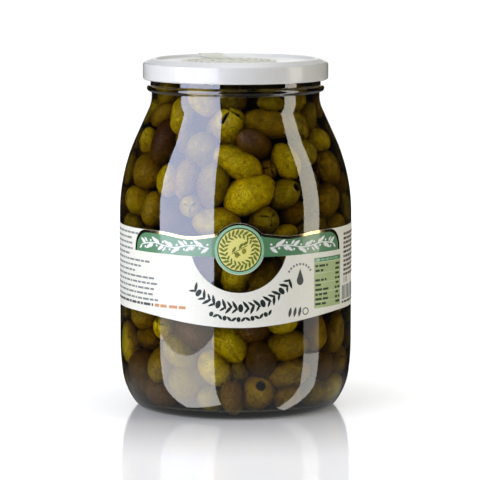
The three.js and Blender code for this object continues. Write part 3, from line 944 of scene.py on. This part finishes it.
def print_sprig(sheet):
    """A sprig of olives with a woven wreath of leaves round it, over the badge's yellow."""
    for count, radius, lean, length, width in ((26, 7.9, 0.95, 3.3, 1.15), (20, 6.1, -0.95, 2.6, 0.9)):
        sheet.wreath("leaf", (0, BADGE_HEIGHT), radius, count, length, width, math.pi / 2 + lean, 12, 0.6)
    for side, along, turn in ((1, -2.4, 1.0), (-1, -1.0, -0.35), (1, 0.6, 1.0), (1, 2.6, 0.6)):
        sheet.dot("leaf", (along, BADGE_HEIGHT + along * 0.55 + side * 1.4), 3.2, 1.2, turn, 14, 0.6)
    for x, y in ((-1.1, -2.3), (2.0, -0.6)):
        sheet.dot("olive", (x, BADGE_HEIGHT + y), 2.0, 2.6, -0.3)
    sheet.area("leaf", [(-3.6, 75.9), (-3.5, 76.3), (3.4, 80.2), (3.5, 79.8)])


def print_arcs(sheet):
    """Two curved rows below the window: a garland of leaves and olives, and a shorter row."""
    centre = (0, WINDOW_CENTRE)
    for i in range(20):
        degrees = -134 + 95 * i / 19
        lean = math.radians(degrees) + math.pi / 2
        if i % 4 == 1:
            sheet.dot("dark", polar(centre, 29.3, degrees), 2.3, 3.7, lean)
        else:
            side = 1 if i % 2 else -1
            sheet.dot("dark", polar(centre, 29.3 + side, degrees), 5.0, 1.4, lean + side, 16, 0.5)
            sheet.dot("dark", polar(centre, 29.3 - side * 1.2, degrees), 3.8, 1.1, lean - side * 0.8, 14, 0.5)
    for i in range(14):
        degrees = -111.5 + 45 * i / 13
        lean = math.radians(degrees) + math.pi / 2
        if i % 3:
            lean += 0.7 if i % 2 else -0.7
            sheet.dot("dark", polar(centre, 34.4, degrees), 2.9, 1.3, lean, 14, 0.45)
        else:
            sheet.dot("dark", polar(centre, 34.4, degrees), 1.9, 2.3, lean)


def print_small(sheet):
    """The columns of small print as bars, the orange line, the drop and the grey stripes."""
    draw = make_draw(7)
    ends = (-53, -59, -57, -58, -60, -44, -51, -56, -41, -40, -42, -42.5, -39.5)
    for row, end in enumerate(ends):
        sheet.words("grey", draw, -112, end, 82.2 - 2.42 * row, 0.9)
    sheet.words("dark_grey", draw, -112, -42.5, 50.8, 1.15)
    for left, right in ((-41.5, -34.5), (-33.2, -24.5)):
        sheet.words("orange", draw, left, right, 50.7, 1.35)
    for row in range(10):
        sheet.words("brown", draw, 60, 104 - 6 * draw(), 80.8 - 2.05 * row, 1.15)
    for x in (60.5, 62.6, 64.2):
        sheet.bar("dark_grey", x, 59.2, 0.5, 2.6)
    x = 58.2
    while x < 92:
        width = 0.3 + 1.5 * draw()
        sheet.bar("grey", x, 51.6, width, 6.4)
        x += width + 0.35 + 0.6 * draw()
    sheet.words("dark_grey", draw, 58, 92, 49.9, 1.0)
    for x in (22.4, 24.9, 27.4):
        sheet.dot("dark_grey", (x + 1, 49.2), 4.6, 1.5, 1.35, 14, 0.5)
    sheet.area("dark_grey", *ring((31.6, 49.2), 1.7, 1.25))
    sheet.dot("dark_grey", (28.6, 63.2), 3.6, 4.2)
    sheet.area("dark_grey", [(26.9, 63.9), (28.6, 68.6), (30.3, 63.9)])
    for i in range(9):
        x, y = polar((0, 0), 1, 150 - 15 * i)
        sheet.dot("grey", (28.6 + 6.6 * x, 64.6 + 6.0 * y), 1.1, 1.1)


def print_table(sheet):
    """A pale green table with a darker head, light rules and a bar for each entry."""
    draw = make_draw(11)
    sheet.bar("panel", 36.6, 49.9, 19.6, 20.6)
    sheet.bar("green", 36.6, 70.7, 19.6, 1.9)
    sheet.words("pale_green", draw, 38, 55, 71.2, 0.8)
    for row in range(9):
        low = 68.4 - 2.15 * row
        if row != 2:
            sheet.words("over_dark", draw, 37.3, 41 + 5.5 * draw(), low, 1.0)
        sheet.words("over_dark", draw, 52 - 0.8 * draw(), 55.6, low, 1.0)
        if row in (1, 3, 5, 7):
            sheet.bar("over_white", 36.6, low - 0.75, 19.6, 0.22)


def ink_finish(name):
    if name == "foil":
        return foil_finish()
    return paper_finish("ink_" + name, rgb(*INKS[name]), 0.36, 0.1, VARNISH.get(name, 0.0))


def make_inside():
    """The inside radius of the glass and its lean, at many heights at once."""
    outline = body_outline(WALL, 2.0)
    outline += [(min(outline[-1][0], MOUTH_RADIUS), BEAD_HEIGHT), (MOUTH_RADIUS, RIM_TOP)]
    radii = np.array([p[0] for p in outline])
    heights = np.array([p[1] for p in outline])
    slopes = np.diff(radii) / np.maximum(np.diff(heights), 1e-6)

    def inside(height):
        step = np.clip(np.searchsorted(heights, height) - 1, 0, len(slopes) - 1)
        return np.interp(height, heights, radii), np.hypot(1, slopes[step])

    return inside


def front_olives(inside, floor):
    """Ends and sizes of the olives whose places at the glass are known."""
    ends, sizes = [], []
    for turn, height, depth, lean, yaw, size, *_ in FRONT_OLIVES:
        low = LOW_GAIN if height < LOW_LEVEL else 0
        size *= FRONT_GAIN + SIDE_GAIN * smooth((abs(turn) - 20) / 40) + low
        turn, lean, yaw = (math.radians(degrees) for degrees in (turn, lean, yaw))
        out = around(turn, 1, 0)
        along = Vector((math.cos(turn), math.sin(turn), 0))
        flat = along * math.cos(lean) + Vector((0, 0, math.sin(lean)))
        axis = flat * math.cos(yaw) + out * math.sin(yaw)
        round_end = OLIVE_HALF_WIDTH * size
        rod = (OLIVE_HALF_LENGTH - OLIVE_HALF_WIDTH) * size
        height = min(max(height, floor + round_end + rod * abs(axis.z)), HEAP_TOP - round_end)
        wall, slope = inside(np.array([height]))
        reach = float(wall[0] - round_end * slope[0]) - HEAP_CLEARANCE - depth - rod * abs(math.sin(yaw))
        centre = out * reach + Vector((0, 0, height))
        ends += [centre - axis * rod, centre + axis * rod]
        sizes.append(size)
    return np.array(ends), sizes


def pack_olives(inside):
    """Centres, axes and sizes of the olives: stiff rods with round ends that grow and settle.

    The olives whose places are known come first and are drawn back to them; the rest fill in.
    """
    draw = make_draw(OLIVE_SEED)
    floor = FLOOR_HEIGHT + HEAP_CLEARANCE + 0.3
    home, sizes = front_olives(inside, floor)
    known = len(sizes)
    centres, axes = [], []
    while len(centres) < OLIVE_COUNT - known:
        height = floor + 6 + (HEAP_TOP - floor - 12) * draw()
        side = (2 * draw() - 1) * BODY_RADIUS
        deep = (2 * draw() - 1) * BODY_RADIUS
        radius = math.hypot(side, deep)
        limit = float(inside(height)[0]) - OLIVE_HALF_WIDTH
        if radius > limit or radius < limit * 0.35:
            continue
        rise = 2 * draw() - 1
        turn = 2 * math.pi * draw()
        flat = math.sqrt(1 - rise * rise)
        sizes.append(OLIVE_FILL_SIZE + OLIVE_SIZE_SPREAD * (2 * draw() - 1))
        centres.append((side, deep, height))
        axes.append((flat * math.cos(turn), flat * math.sin(turn), rise))
    centres, axes, sizes = np.array(centres), np.array(axes), np.array(sizes)
    rod = (OLIVE_HALF_LENGTH - OLIVE_HALF_WIDTH) * sizes[:, None]
    loose = np.stack([centres - axes * rod[known:], centres + axes * rod[known:]], 1).reshape(-1, 3)
    ends = np.concatenate([home, loose])
    owner = np.repeat(np.arange(len(sizes)), 2)
    size = np.repeat(sizes, 2)
    other = owner[:, None] != owner[None, :]
    held = owner < known
    yield_share = np.where(held, HELD_YIELD, LOOSE_YIELD)[:, None]
    for step in range(SETTLE_STEPS):
        share = START_GROWTH + (1 - START_GROWTH) * min(1, step / GROWTH_STEPS)
        grown = np.where(held, 1.0, share)
        ball = OLIVE_HALF_WIDTH * CONTACT_SHRINK * size * grown
        apart = ends[:, None, :] - ends[None, :, :]
        distance = np.sqrt((apart**2).sum(2))
        reach = ball[:, None] + ball[None, :]
        push = np.where(other & (distance < reach), yield_share * (reach - distance), 0)
        push /= np.maximum(distance, 1e-6)
        ends = ends + (apart * push[:, :, None]).sum(1)
        ends[held] += HOME_PULL * (home - ends[held])
        drift = OUTWARD_DRIFT if step < GROWTH_STEPS else 0
        radius = np.maximum(np.hypot(ends[:, 0], ends[:, 1]), 1e-6)
        ends[:, :2] *= (1 + np.where(held, 0, drift) / radius)[:, None]
        ball_round = OLIVE_HALF_WIDTH * grown * size
        ends[:, 2] = np.clip(ends[:, 2], floor + ball_round, HEAP_TOP - ball_round)
        wall, lean = inside(ends[:, 2])
        limit = wall - HEAP_CLEARANCE - ball_round * lean
        radius = np.hypot(ends[:, 0], ends[:, 1])
        over = radius > limit
        ends[over, :2] *= (limit / np.maximum(radius, 1e-6))[over, None]
        first, second = ends[0::2], ends[1::2]
        centres = (first + second) / 2
        axes = second - first
        axes /= np.linalg.norm(axes, axis=1)[:, None]
        half = rod * grown[::2, None]
        ends = np.stack([centres - axes * half, centres + axes * half], 1).reshape(-1, 3)
    return centres, axes, sizes


def olive_template(kind):
    """One olive of a kind about its own Z axis, in millimetres, its pitted end up, with painted shade in its
    furrows, crease, star cuts and pit hole.
    """
    wrinkle, hole, star, dent, crease = OLIVE_KINDS[kind]
    bm = bmesh.new()
    bmesh.ops.create_uvsphere(bm, u_segments=OLIVE_AROUND, v_segments=OLIVE_ALONG, radius=1)
    layer = bm.verts.layers.float.new("recess_shade")
    shift = Vector((kind * 7.3 + 1.9, kind * 3.1, kind * 1.7))
    flats = []
    draw = make_draw(kind + 21)
    for _ in range(3):
        turn = 2 * math.pi * draw()
        flats.append(Vector((math.cos(turn), math.sin(turn), draw() - 0.5)).normalized())
    for v in bm.verts:
        t = v.co.z
        turn = math.atan2(v.co.y, v.co.x)
        side = Vector((math.cos(turn), math.sin(turn), 0))
        full = (1 - abs(t) ** 2.15) ** 0.58 if abs(t) < 1 else 0.0
        wide = (OLIVE_HALF_WIDTH + 0.2) * full * (1 - 0.07 * t)
        wide += full * noise.noise(v.co * 1.1 + shift) * 0.5
        valley = abs(noise.noise(Vector((v.co.x * 2.6, v.co.y * 2.6, t * 1.3)) + shift))
        furrow = max(0.0, 0.16 - valley) / 0.16
        wide -= full * wrinkle * furrow * 1.3
        for flat in flats:
            wide -= full * dent * max(0.0, v.co.dot(flat) - 0.55) * 1.8
        line = crease * math.exp(-(((turn - 0.5 - 0.35 * t) / 0.13) ** 2)) * smooth((t + 0.7) / 0.5)
        wide -= full * line * 1.2
        depth = 0.0
        if star and t > 0.45:
            spoke = abs(math.cos(1.5 * turn + kind)) ** 14
            depth = star * (0.3 + 0.7 * spoke) * smooth((t - (0.93 - 0.3 * spoke)) / 0.14)
            depth *= 0.6 + 0.8 * (0.5 + noise.noise(v.co * 4 + shift))
        length = (OLIVE_HALF_LENGTH + 0.5) * t - depth
        v.co = side * max(wide * (1 - 0.03 * depth), 0.0) + Vector((0, 0, length))
        # Painted shade on the points, in the wrinkles' furrows, along the crease and in the star cuts
        v[layer] = min(1.0, 0.45 * furrow * wrinkle + line * 0.4 + depth * 0.45)
    if hole:
        near = [f for f in bm.faces if all(v.co.z > 0 and v.co.xy.length < hole for v in f.verts)]
        rim = {v for f in near for v in f.verts}
        # Painted shade on the pit hole's walls, darkest deep down
        for depth, narrow, dark in ((0.7, 0.9, 0.5), (4.5, 0.85, 1.0)):
            raised = bmesh.ops.extrude_face_region(bm, geom=near)["geom"]
            bmesh.ops.delete(bm, geom=near, context="FACES")
            moved = [item for item in raised if isinstance(item, bmesh.types.BMVert)]
            near = [item for item in raised if isinstance(item, bmesh.types.BMFace)]
            for v in moved:
                v.co = Vector((v.co.x * narrow, v.co.y * narrow, v.co.z - depth))
                v[layer] = dark
        for v in rim:
            if v.is_valid:
                v.co.z += 0.15
    bmesh.ops.recalc_face_normals(bm, faces=bm.faces)
    return to_mesh(bm, "olive_template")


def turn_to(axis, roll):
    """The turn that takes +Z to an axis, after a roll about it."""
    turn = Vector((0, 0, 1)).rotation_difference(Vector(axis)).to_matrix()
    return (turn @ Matrix.Rotation(roll, 3, "Z")).to_4x4()


def join_olives(items, templates):
    """Many olives in one shape, with tone and blush painted on their points, beside the painted shade in the
    recesses that the templates carry.
    """
    bm = bmesh.new()
    tone_layer = bm.verts.layers.float.new("tone")
    blush_layer = bm.verts.layers.float.new("blush")
    for centre, axis, size, stretch, kind, roll, tone, blush_turn, ripe in items:
        first = len(bm.verts)
        bm.from_mesh(templates[kind])
        bm.verts.ensure_lookup_table()
        verts = bm.verts[first:]
        side = Vector((math.cos(blush_turn), math.sin(blush_turn), 0.5)) * ripe * 0.5 / OLIVE_HALF_WIDTH
        for v in verts:
            v[tone_layer] = tone
            v[blush_layer] = v.co.dot(side) + ripe * 0.3
        matrix = Matrix.Translation(Vector(centre) * MM) @ turn_to(axis, roll)
        scale = size * OLIVE_SKIN_SHARE * MM
        matrix = matrix @ Matrix.Diagonal((scale, scale, scale * stretch, 1))
        bmesh.ops.transform(bm, matrix=matrix, verts=verts)
    return bm


class JarSettings(bpy.types.PropertyGroup):
    """How finely the glass is turned, and how high the oil stands."""

    glass_steps: bpy.props.IntProperty(
        name="Glass steps", description="Sides of the glass round its axis",
        default=GLASS_STEPS, min=24, max=320,
    )
    oil_top: bpy.props.FloatProperty(
        name="Oil level", description="Height of the oil above the foot",
        default=OIL_TOP * MM, unit="LENGTH",
    )


class OliveSettings(bpy.types.PropertyGroup):
    """How many bubbles cling to the glass, and how ripe the olives are."""

    ripeness: bpy.props.FloatProperty(
        name="Ripeness", description="How far the purple blush spreads",
        default=0.0, min=-0.5, max=0.5, subtype="FACTOR",
    )
    bubbles: bpy.props.IntProperty(
        name="Bubbles", description="Small air bubbles at the glass", default=72, min=0, max=200,
    )


class LabelSettings(bpy.types.PropertyGroup):
    """The label's paper."""

    paper: bpy.props.FloatVectorProperty(
        name="Paper", description="Colour of the label's paper", subtype="COLOR", size=4,
        default=rgb(240, 238, 224), min=0, max=1,
    )


class StudioSettings(bpy.types.PropertyGroup):
    """The studio's floor and lamps."""

    floor: bpy.props.FloatVectorProperty(
        name="Floor", description="Colour of the floor", subtype="COLOR", size=4,
        default=(0.9, 0.9, 0.9, 1), min=0, max=1,
    )
    key: bpy.props.FloatProperty(
        name="Key lamp", description="Brightness of the wide lamp on the left", default=3.4, min=0,
    )
    rim: bpy.props.FloatProperty(
        name="Strip lamp", description="Brightness of the narrow lamp on the right", default=3.5, min=0,
    )
    top: bpy.props.FloatProperty(
        name="Top lamp", description="Brightness of the lamp overhead", default=2.1, min=0,
    )


class JAR_OT_glass(bpy.types.Operator):
    """Build the glass jar"""

    bl_idname = "jar.glass"
    bl_label = "Glass"

    def execute(self, context):
        bm = bmesh.new()
        revolve(bm, jar_outline(), context.scene.jar_settings.glass_steps)
        inside = make_inside()
        for face in bm.faces:
            middle = face.calc_center_median() / MM
            wall = float(inside(middle.z)[0]) + WALL * 0.4
            if FLOOR_HEIGHT + 1.0 < middle.z < OIL_TOP and middle.xy.length < wall:
                face.material_index = 1
            # The foot's faces let less of the lamps' light through, for a painted shadow on the floor at the
            # foot
            elif middle.z < FOOT_TOP:
                face.material_index = 2
        finishes = [glass_finish(), wet_glass_finish(), glass_finish("shadowing_foot_glass", FOOT_SHADOW_CLEAR)]
        put("glass_jar", bm, finishes, ["jar"])
        return {"FINISHED"}


class JAR_OT_oil(bpy.types.Operator):
    """Fill the jar with oil"""

    bl_idname = "jar.oil"
    bl_label = "Oil"

    def execute(self, context):
        top = context.scene.jar_settings.oil_top / MM
        outline = inside_outline(OIL_REACH)
        reach = MOUTH_RADIUS + OIL_REACH
        outline += [(reach, top), (reach - 1.2, top - 0.25), (reach - 4, top - 0.5), (0, top - 0.5)]
        bm = bmesh.new()
        revolve(bm, outline, context.scene.jar_settings.glass_steps)
        put("oil", bm, [oil_finish()])
        return {"FINISHED"}


class JAR_OT_bubbles(bpy.types.Operator):
    """Set small air bubbles against the inside of the glass"""

    bl_idname = "jar.bubbles"
    bl_label = "Bubbles"

    def execute(self, context):
        draw = make_draw(5)
        inside = make_inside()
        bm = bmesh.new()
        for i in range(context.scene.olive_settings.bubbles):
            size = 0.3 + 0.55 * draw() ** 2
            left, right, low, high = BUBBLE_PLACES[i % len(BUBBLE_PLACES)]
            angle = math.radians(left + (right - left) * draw())
            height = low + (high - low) * draw()
            radius = float(inside(height)[0]) - size - 0.02
            place = Matrix.Translation(around(angle, radius, height) * MM)
            bmesh.ops.create_icosphere(bm, subdivisions=3, radius=size * MM, matrix=place)
        put("bubbles", bm, [bubble_finish()])
        return {"FINISHED"}


class JAR_OT_olives(bpy.types.Operator):
    """Pack the jar with pitted olives round a dark core of painted shade"""

    bl_idname = "jar.olives"
    bl_label = "Olives"

    def execute(self, context):
        centres, axes, sizes = pack_olives(make_inside())
        draw = make_draw(3)
        templates = [olive_template(kind) for kind in range(len(OLIVE_KINDS))]
        groups = {name: [] for name in OLIVE_SORTS}
        for i, (centre, axis, size) in enumerate(zip(centres, axes, sizes)):
            pick = draw()
            group = next(name for name, share in SORT_SHARES if pick < share)
            kind = int(draw() * len(templates)) % len(templates)
            roll, tone, turn, ripe = 2 * math.pi * draw(), 0.75 * draw(), 2 * math.pi * draw(), draw()
            sign, stretch = (1 if draw() < 0.5 else -1), 0.9 + 0.25 * draw()
            if i < len(FRONT_OLIVES):
                sign = 1
                stretch, group, kind, tone = FRONT_OLIVES[i][6:]
            if math.hypot(centre[0], centre[1]) < CLEAR_MIDDLE:
                continue
            groups[group].append((centre, axis * sign, size, stretch, kind, roll, tone, turn, ripe))
        more = context.scene.olive_settings.ripeness
        for i, (group, items) in enumerate(groups.items()):
            dark, light, ripe, ripeness = OLIVE_SORTS[group]
            material = olive_finish(
                "olive_skin_" + group, rgb(*dark), rgb(*light), rgb(*ripe), ripeness + more,
            )
            solids = ["olives"] if i == 0 else ()
            put("olives_" + group, join_olives(items, templates), [material], solids)
        for template in templates:
            bpy.data.meshes.remove(template)
        bm = bmesh.new()
        revolve(bm, CORE_OUTLINE, CORE_STEPS)
        put("olives_shade_core", bm, [shade_core_finish()])
        return {"FINISHED"}


class JAR_OT_label(bpy.types.Operator):
    """Wrap the paper label round the glass, with its window and its print"""

    bl_idname = "jar.label"
    bl_label = "Label"

    def execute(self, context):
        bm = bmesh.new()
        fill(bm, paper_loop(), window_loop())
        paste(bm, PAPER_GAP, PAPER)
        paper = paper_finish("label_paper", tuple(context.scene.label_settings.paper), 0.34)
        put("label_sheet", bm, [paper], ["label"], False)
        sheet = Print()
        for part in (print_band, print_badge, print_sprig, print_arcs, print_small, print_table):
            part(sheet)
        for name, flat in sheet.inks.items():
            low = PAPER_GAP + PAPER + INK * (INK_LAYERS.get(name, 0) + 0.1)
            paste(flat, low, INK * 0.8)
            put("print_" + name, flat, [ink_finish(name)], (), False)
        return {"FINISHED"}


class JAR_OT_lid(bpy.types.Operator):
    """Build the enamelled steel lid"""

    bl_idname = "jar.lid"
    bl_label = "Lid"

    def execute(self, context):
        top = lid_top(0)
        curl = arc_points((LID_RADIUS - LID_CURL, LID_BOTTOM + LID_CURL), LID_CURL, 0, -225, 15)
        inner = LID_RADIUS - LID_SHEET
        underside = [
            (inner, LID_BOTTOM + 2.3 * LID_CURL),
            (inner, LID_SKIRT_TOP - 0.8),
            (LID_RIDGE_RADIUS + 0.6, LID_RIDGE_TOP - LID_SHEET - 0.1),
            (LID_PANEL_RADIUS + 1.1, LID_RIDGE_TOP - LID_SHEET - 0.1),
            (LID_PANEL_RADIUS - 0.2, LID_PANEL_HEIGHT - LID_SHEET),
            (0, LID_PANEL_HEIGHT - LID_SHEET),
        ]
        bm = bmesh.new()
        revolve(bm, round_corner(top, 0.45) + curl + underside, 144)
        # The top's faces take a second copy of the white enamel: the skirt's copy is a darker white, as
        # painted shade, and glossier; the top's is lighter and duller
        for face in bm.faces:
            if face.calc_center_median().z > (LID_SKIRT_TOP + 0.3) * MM:
                face.material_index = 1
        finishes = [enamel_finish("shaded_skirt_enamel", 0.77, 0.8), enamel_finish("dull_top_enamel", 0.82, 0.1)]
        put("steel_lid", bm, finishes, ["lid"])
        return {"FINISHED"}


def lid_top(offset):
    """The lid's top from its middle to the skirt, raised by an offset for what lies on it."""
    return [
        (0, LID_PANEL_HEIGHT + offset),
        (LID_PANEL_RADIUS - offset, LID_PANEL_HEIGHT + offset),
        (LID_PANEL_RADIUS + 1.3 - offset, LID_RIDGE_TOP - 0.3 + offset),
        (LID_RIDGE_RADIUS - 1, LID_RIDGE_TOP + offset),
        (LID_RIDGE_RADIUS + offset * 0.4, LID_RIDGE_TOP - 0.1 + offset),
        (LID_RADIUS - 0.4 + offset * 0.5, LID_SKIRT_TOP + 0.14 + offset),
        (LID_RADIUS + offset, LID_SKIRT_TOP - 0.3 + offset * 0.4),
        (LID_RADIUS + offset, LID_SKIRT_TOP - 2),
    ]


def seal_tab():
    """The seal's tab, laid over the lid's ridge and down the back of its skirt, in millimetres."""
    profile = lid_top(SEAL_GAP)[:-1] + [(LID_RADIUS + SEAL_GAP, SEAL_TAB_END)]
    profile = round_corner(profile, 0.9)
    lengths = [0.0]
    for a, b in zip(profile, profile[1:]):
        lengths.append(lengths[-1] + math.dist(a, b))
    radii, levels = zip(*profile)
    half = SEAL_TAB_WIDTH / 2
    rows = steps_between(SEAL_TAB_START, lengths[-1], 0.5)
    tab = bmesh.new()
    fill(tab, [(-half, y) for y in rows] + [(half, y) for y in reversed(rows)])
    slice_across(tab, rows[1:-1], 1)
    thicken(tab, SEAL_PAPER)
    for v in tab.verts:
        radius = float(np.interp(v.co.y, lengths, radii))
        level = float(np.interp(v.co.y, lengths, levels))
        out = smooth((radius - LID_RADIUS + 1.5) / 1.5)
        radius += (v.co.z + 0.08) * out
        level += (v.co.z + 0.16) * (1 - out)
        angle = v.co.x / max(radius, 12.0) - SEAL_TAB_TURN
        v.co = Vector((radius * math.sin(angle), radius * math.cos(angle), level))
    return tab


class JAR_OT_seal(bpy.types.Operator):
    """Lay the paper seal on the lid, with its tab over the ridge"""

    bl_idname = "jar.seal"
    bl_label = "Seal"

    def execute(self, context):
        centre = (SEAL_CENTRE_X, 0)
        disc = bmesh.new()
        fill(disc, arc_points(centre, SEAL_RADIUS, 0, 360, 3)[:-1])
        leaves = Print()
        for count, radius, length, width in SEAL_LEAVES:
            leaves.wreath("seal", centre, radius, count, length, width, 1.2, 10)
        print_ring = leaves.ink("seal")
        for flat, thickness, gap in ((disc, SEAL_PAPER, SEAL_GAP), (print_ring, INK, SEAL_GAP + 0.155)):
            thicken(flat, thickness)
            bmesh.ops.translate(flat, verts=flat.verts, vec=(0, 0, LID_PANEL_HEIGHT + gap))
        whole = bmesh.new()
        for part in (disc, seal_tab()):
            whole.from_mesh(to_mesh(part, "seal_part"))
        for bm in (print_ring, whole):
            bmesh.ops.recalc_face_normals(bm, faces=bm.faces)
            bmesh.ops.scale(bm, vec=(MM, MM, MM), verts=bm.verts)
        faint = paper_finish("ink_seal", rgb(176, 174, 140), 0.6, 0.1)
        put("print_seal", print_ring, [faint], (), False)
        paper = paper_finish("seal_paper", rgb(236, 236, 221), 0.6, 0.12)
        put("paper_seal", whole, [paper], ["lid_seal"], False)
        return {"FINISHED"}


def add_lamp(name, azimuth, distance, width, height, bottom, level, colour):
    """An upright rectangular lamp that faces the jar. Azimuth 0 is the camera's side."""
    angle = math.radians(azimuth)
    data = bpy.data.lights.new(name, "AREA")
    data.shape = "RECTANGLE"
    data.size = width
    data.size_y = height
    data.energy = level * math.pi * width * height
    data.color = colour
    lamp = bpy.data.objects.new(name, data)
    bpy.context.scene.collection.objects.link(lamp)
    lamp.location = around(angle, distance, bottom + height / 2)
    lamp.rotation_euler = (math.pi / 2, 0, angle)
    return lamp


class JAR_OT_studio(bpy.types.Operator):
    """Set the floor, the lamps, the surroundings and the camera"""

    bl_idname = "jar.studio"
    bl_label = "Studio"

    def execute(self, context):
        settings = context.scene.studio_settings
        bm = bmesh.new()
        middle = Matrix.Translation((0, (FLOOR_BACK + FLOOR_FRONT) / 2, 0))
        reach = Matrix.Diagonal((FLOOR_SIDE, (FLOOR_BACK - FLOOR_FRONT) / 2, 1, 1))
        bmesh.ops.create_grid(bm, x_segments=1, y_segments=1, size=1, matrix=middle @ reach)
        mesh = to_mesh(bm, "floor")
        mesh.materials.append(floor_finish(tuple(settings.floor)))
        floor = bpy.data.objects.new("floor", mesh)
        context.scene.collection.objects.link(floor)
        floor.visible_glossy = False
        for (name, azimuth, width, colours, sheens), level in zip(LAMPS, (settings.key, settings.rim)):
            for kind, bottom, height, share, below in LAMP_PARTS:
                light = add_lamp(name + "_" + kind, azimuth, LAMP_DISTANCE, width, height, bottom,
                                 level * share, colours[below])
                light.visible_glossy = False
                gloss = add_lamp(name + "_gloss_" + kind, azimuth, GLOSS_DISTANCE, width, height, bottom,
                                 level * share * GLOSS_GAIN, sheens[below])
                gloss.visible_diffuse = False
                gloss.visible_transmission = False
        top = add_lamp(
            "top_lamp", 0, 0.0, TOP_LAMP_SIZE, TOP_LAMP_SIZE, TOP_LAMP_BOTTOM, settings.top, WHITE[:3]
        )
        top.rotation_euler = (0, 0, 0)
        self.surroundings(context.scene)
        self.camera(context.scene)
        return {"FINISHED"}

    @staticmethod
    def surroundings(scene):
        """White to look at; for light and gloss, dark but for a white screen behind the jar."""
        f = Finish("studio", "worlds")
        direction = f.add("ShaderNodeTexCoord", output="Generated")
        x, y, z = (f.add("ShaderNodeSeparateXYZ", {}, {0: direction}, axis) for axis in "XYZ")
        narrow = x.maths("ABSOLUTE", x).ramp(0.15, 0.10, kind="LINEAR")
        screen = y.ramp(0.0, 0.2, kind="LINEAR") * narrow * z.ramp(-0.05, 0.0, kind="LINEAR")
        table = z.ramp(-0.2, -0.34, 0.0, TABLE_GLOW, "LINEAR")
        level = screen.ramp(0.0, 1.0, ROOM_GLOW, SCREEN_GLOW, "LINEAR") + table
        dim = f.add("ShaderNodeBackground", {}, {"Color": WHITE, "Strength": level})
        white = f.add("ShaderNodeBackground", {}, {"Color": WHITE, "Strength": 1.05})
        seen = f.add("ShaderNodeLightPath", output="Is Camera Ray")
        scene.world = f.done(f.add("ShaderNodeMixShader", {}, {0: seen, 1: dim, 2: white}), kind="World")

    @staticmethod
    def camera(scene):
        """The photograph's camera, whose frame is square."""
        data = bpy.data.cameras.new("camera")
        data.sensor_fit = "HORIZONTAL"
        data.sensor_width = 36.0
        data.lens = PHOTO_FOCAL / PHOTO_SIZE * data.sensor_width
        data.clip_end = 50
        camera = bpy.data.objects.new("camera", data)
        scene.collection.objects.link(camera)
        aside = (PHOTO_SIZE / 2 - PHOTO_AXIS_X) / PHOTO_FOCAL * CAMERA_DISTANCE
        camera.location = (aside, -CAMERA_DISTANCE, CAMERA_HEIGHT)
        camera.rotation_euler = (math.pi / 2 - CAMERA_PITCH, 0, 0)
        scene.camera = camera
        scene.view_settings.view_transform = "Standard"


class JAR_PT_panel(bpy.types.Panel):
    """Builds the jar of olives piece by piece"""

    bl_idname = "JAR_PT_panel"
    bl_label = "Jar of Olives"
    bl_space_type = "VIEW_3D"
    bl_region_type = "UI"
    bl_category = "Jar of Olives"

    def draw(self, context):
        for group in ("jar_settings", "olive_settings", "label_settings", "studio_settings"):
            settings = getattr(context.scene, group)
            box = self.layout.box()
            for name in settings.bl_rna.properties.keys():
                if name not in ("rna_type", "name"):
                    box.prop(settings, name)
        for operator in OPERATORS:
            self.layout.operator(operator.bl_idname)


OPERATORS = (
    JAR_OT_glass, JAR_OT_oil, JAR_OT_bubbles, JAR_OT_olives,
    JAR_OT_label, JAR_OT_lid, JAR_OT_seal, JAR_OT_studio,
)
SETTINGS = {
    "jar_settings": JarSettings,
    "olive_settings": OliveSettings,
    "label_settings": LabelSettings,
    "studio_settings": StudioSettings,
}


def register():
    for cls in (*SETTINGS.values(), *OPERATORS, JAR_PT_panel):
        bpy.utils.register_class(cls)
    for name, cls in SETTINGS.items():
        setattr(bpy.types.Scene, name, bpy.props.PointerProperty(type=cls))


def unregister():
    for name in SETTINGS:
        delattr(bpy.types.Scene, name)
    for cls in (JAR_PT_panel, *reversed(OPERATORS), *reversed(SETTINGS.values())):
        bpy.utils.unregister_class(cls)


def main():
    register()
    bpy.ops.jar.glass()
    bpy.ops.jar.oil()
    bpy.ops.jar.bubbles()
    bpy.ops.jar.olives()
    bpy.ops.jar.label()
    bpy.ops.jar.lid()
    bpy.ops.jar.seal()
    bpy.ops.jar.studio()


if __name__ == "__main__":
    main()
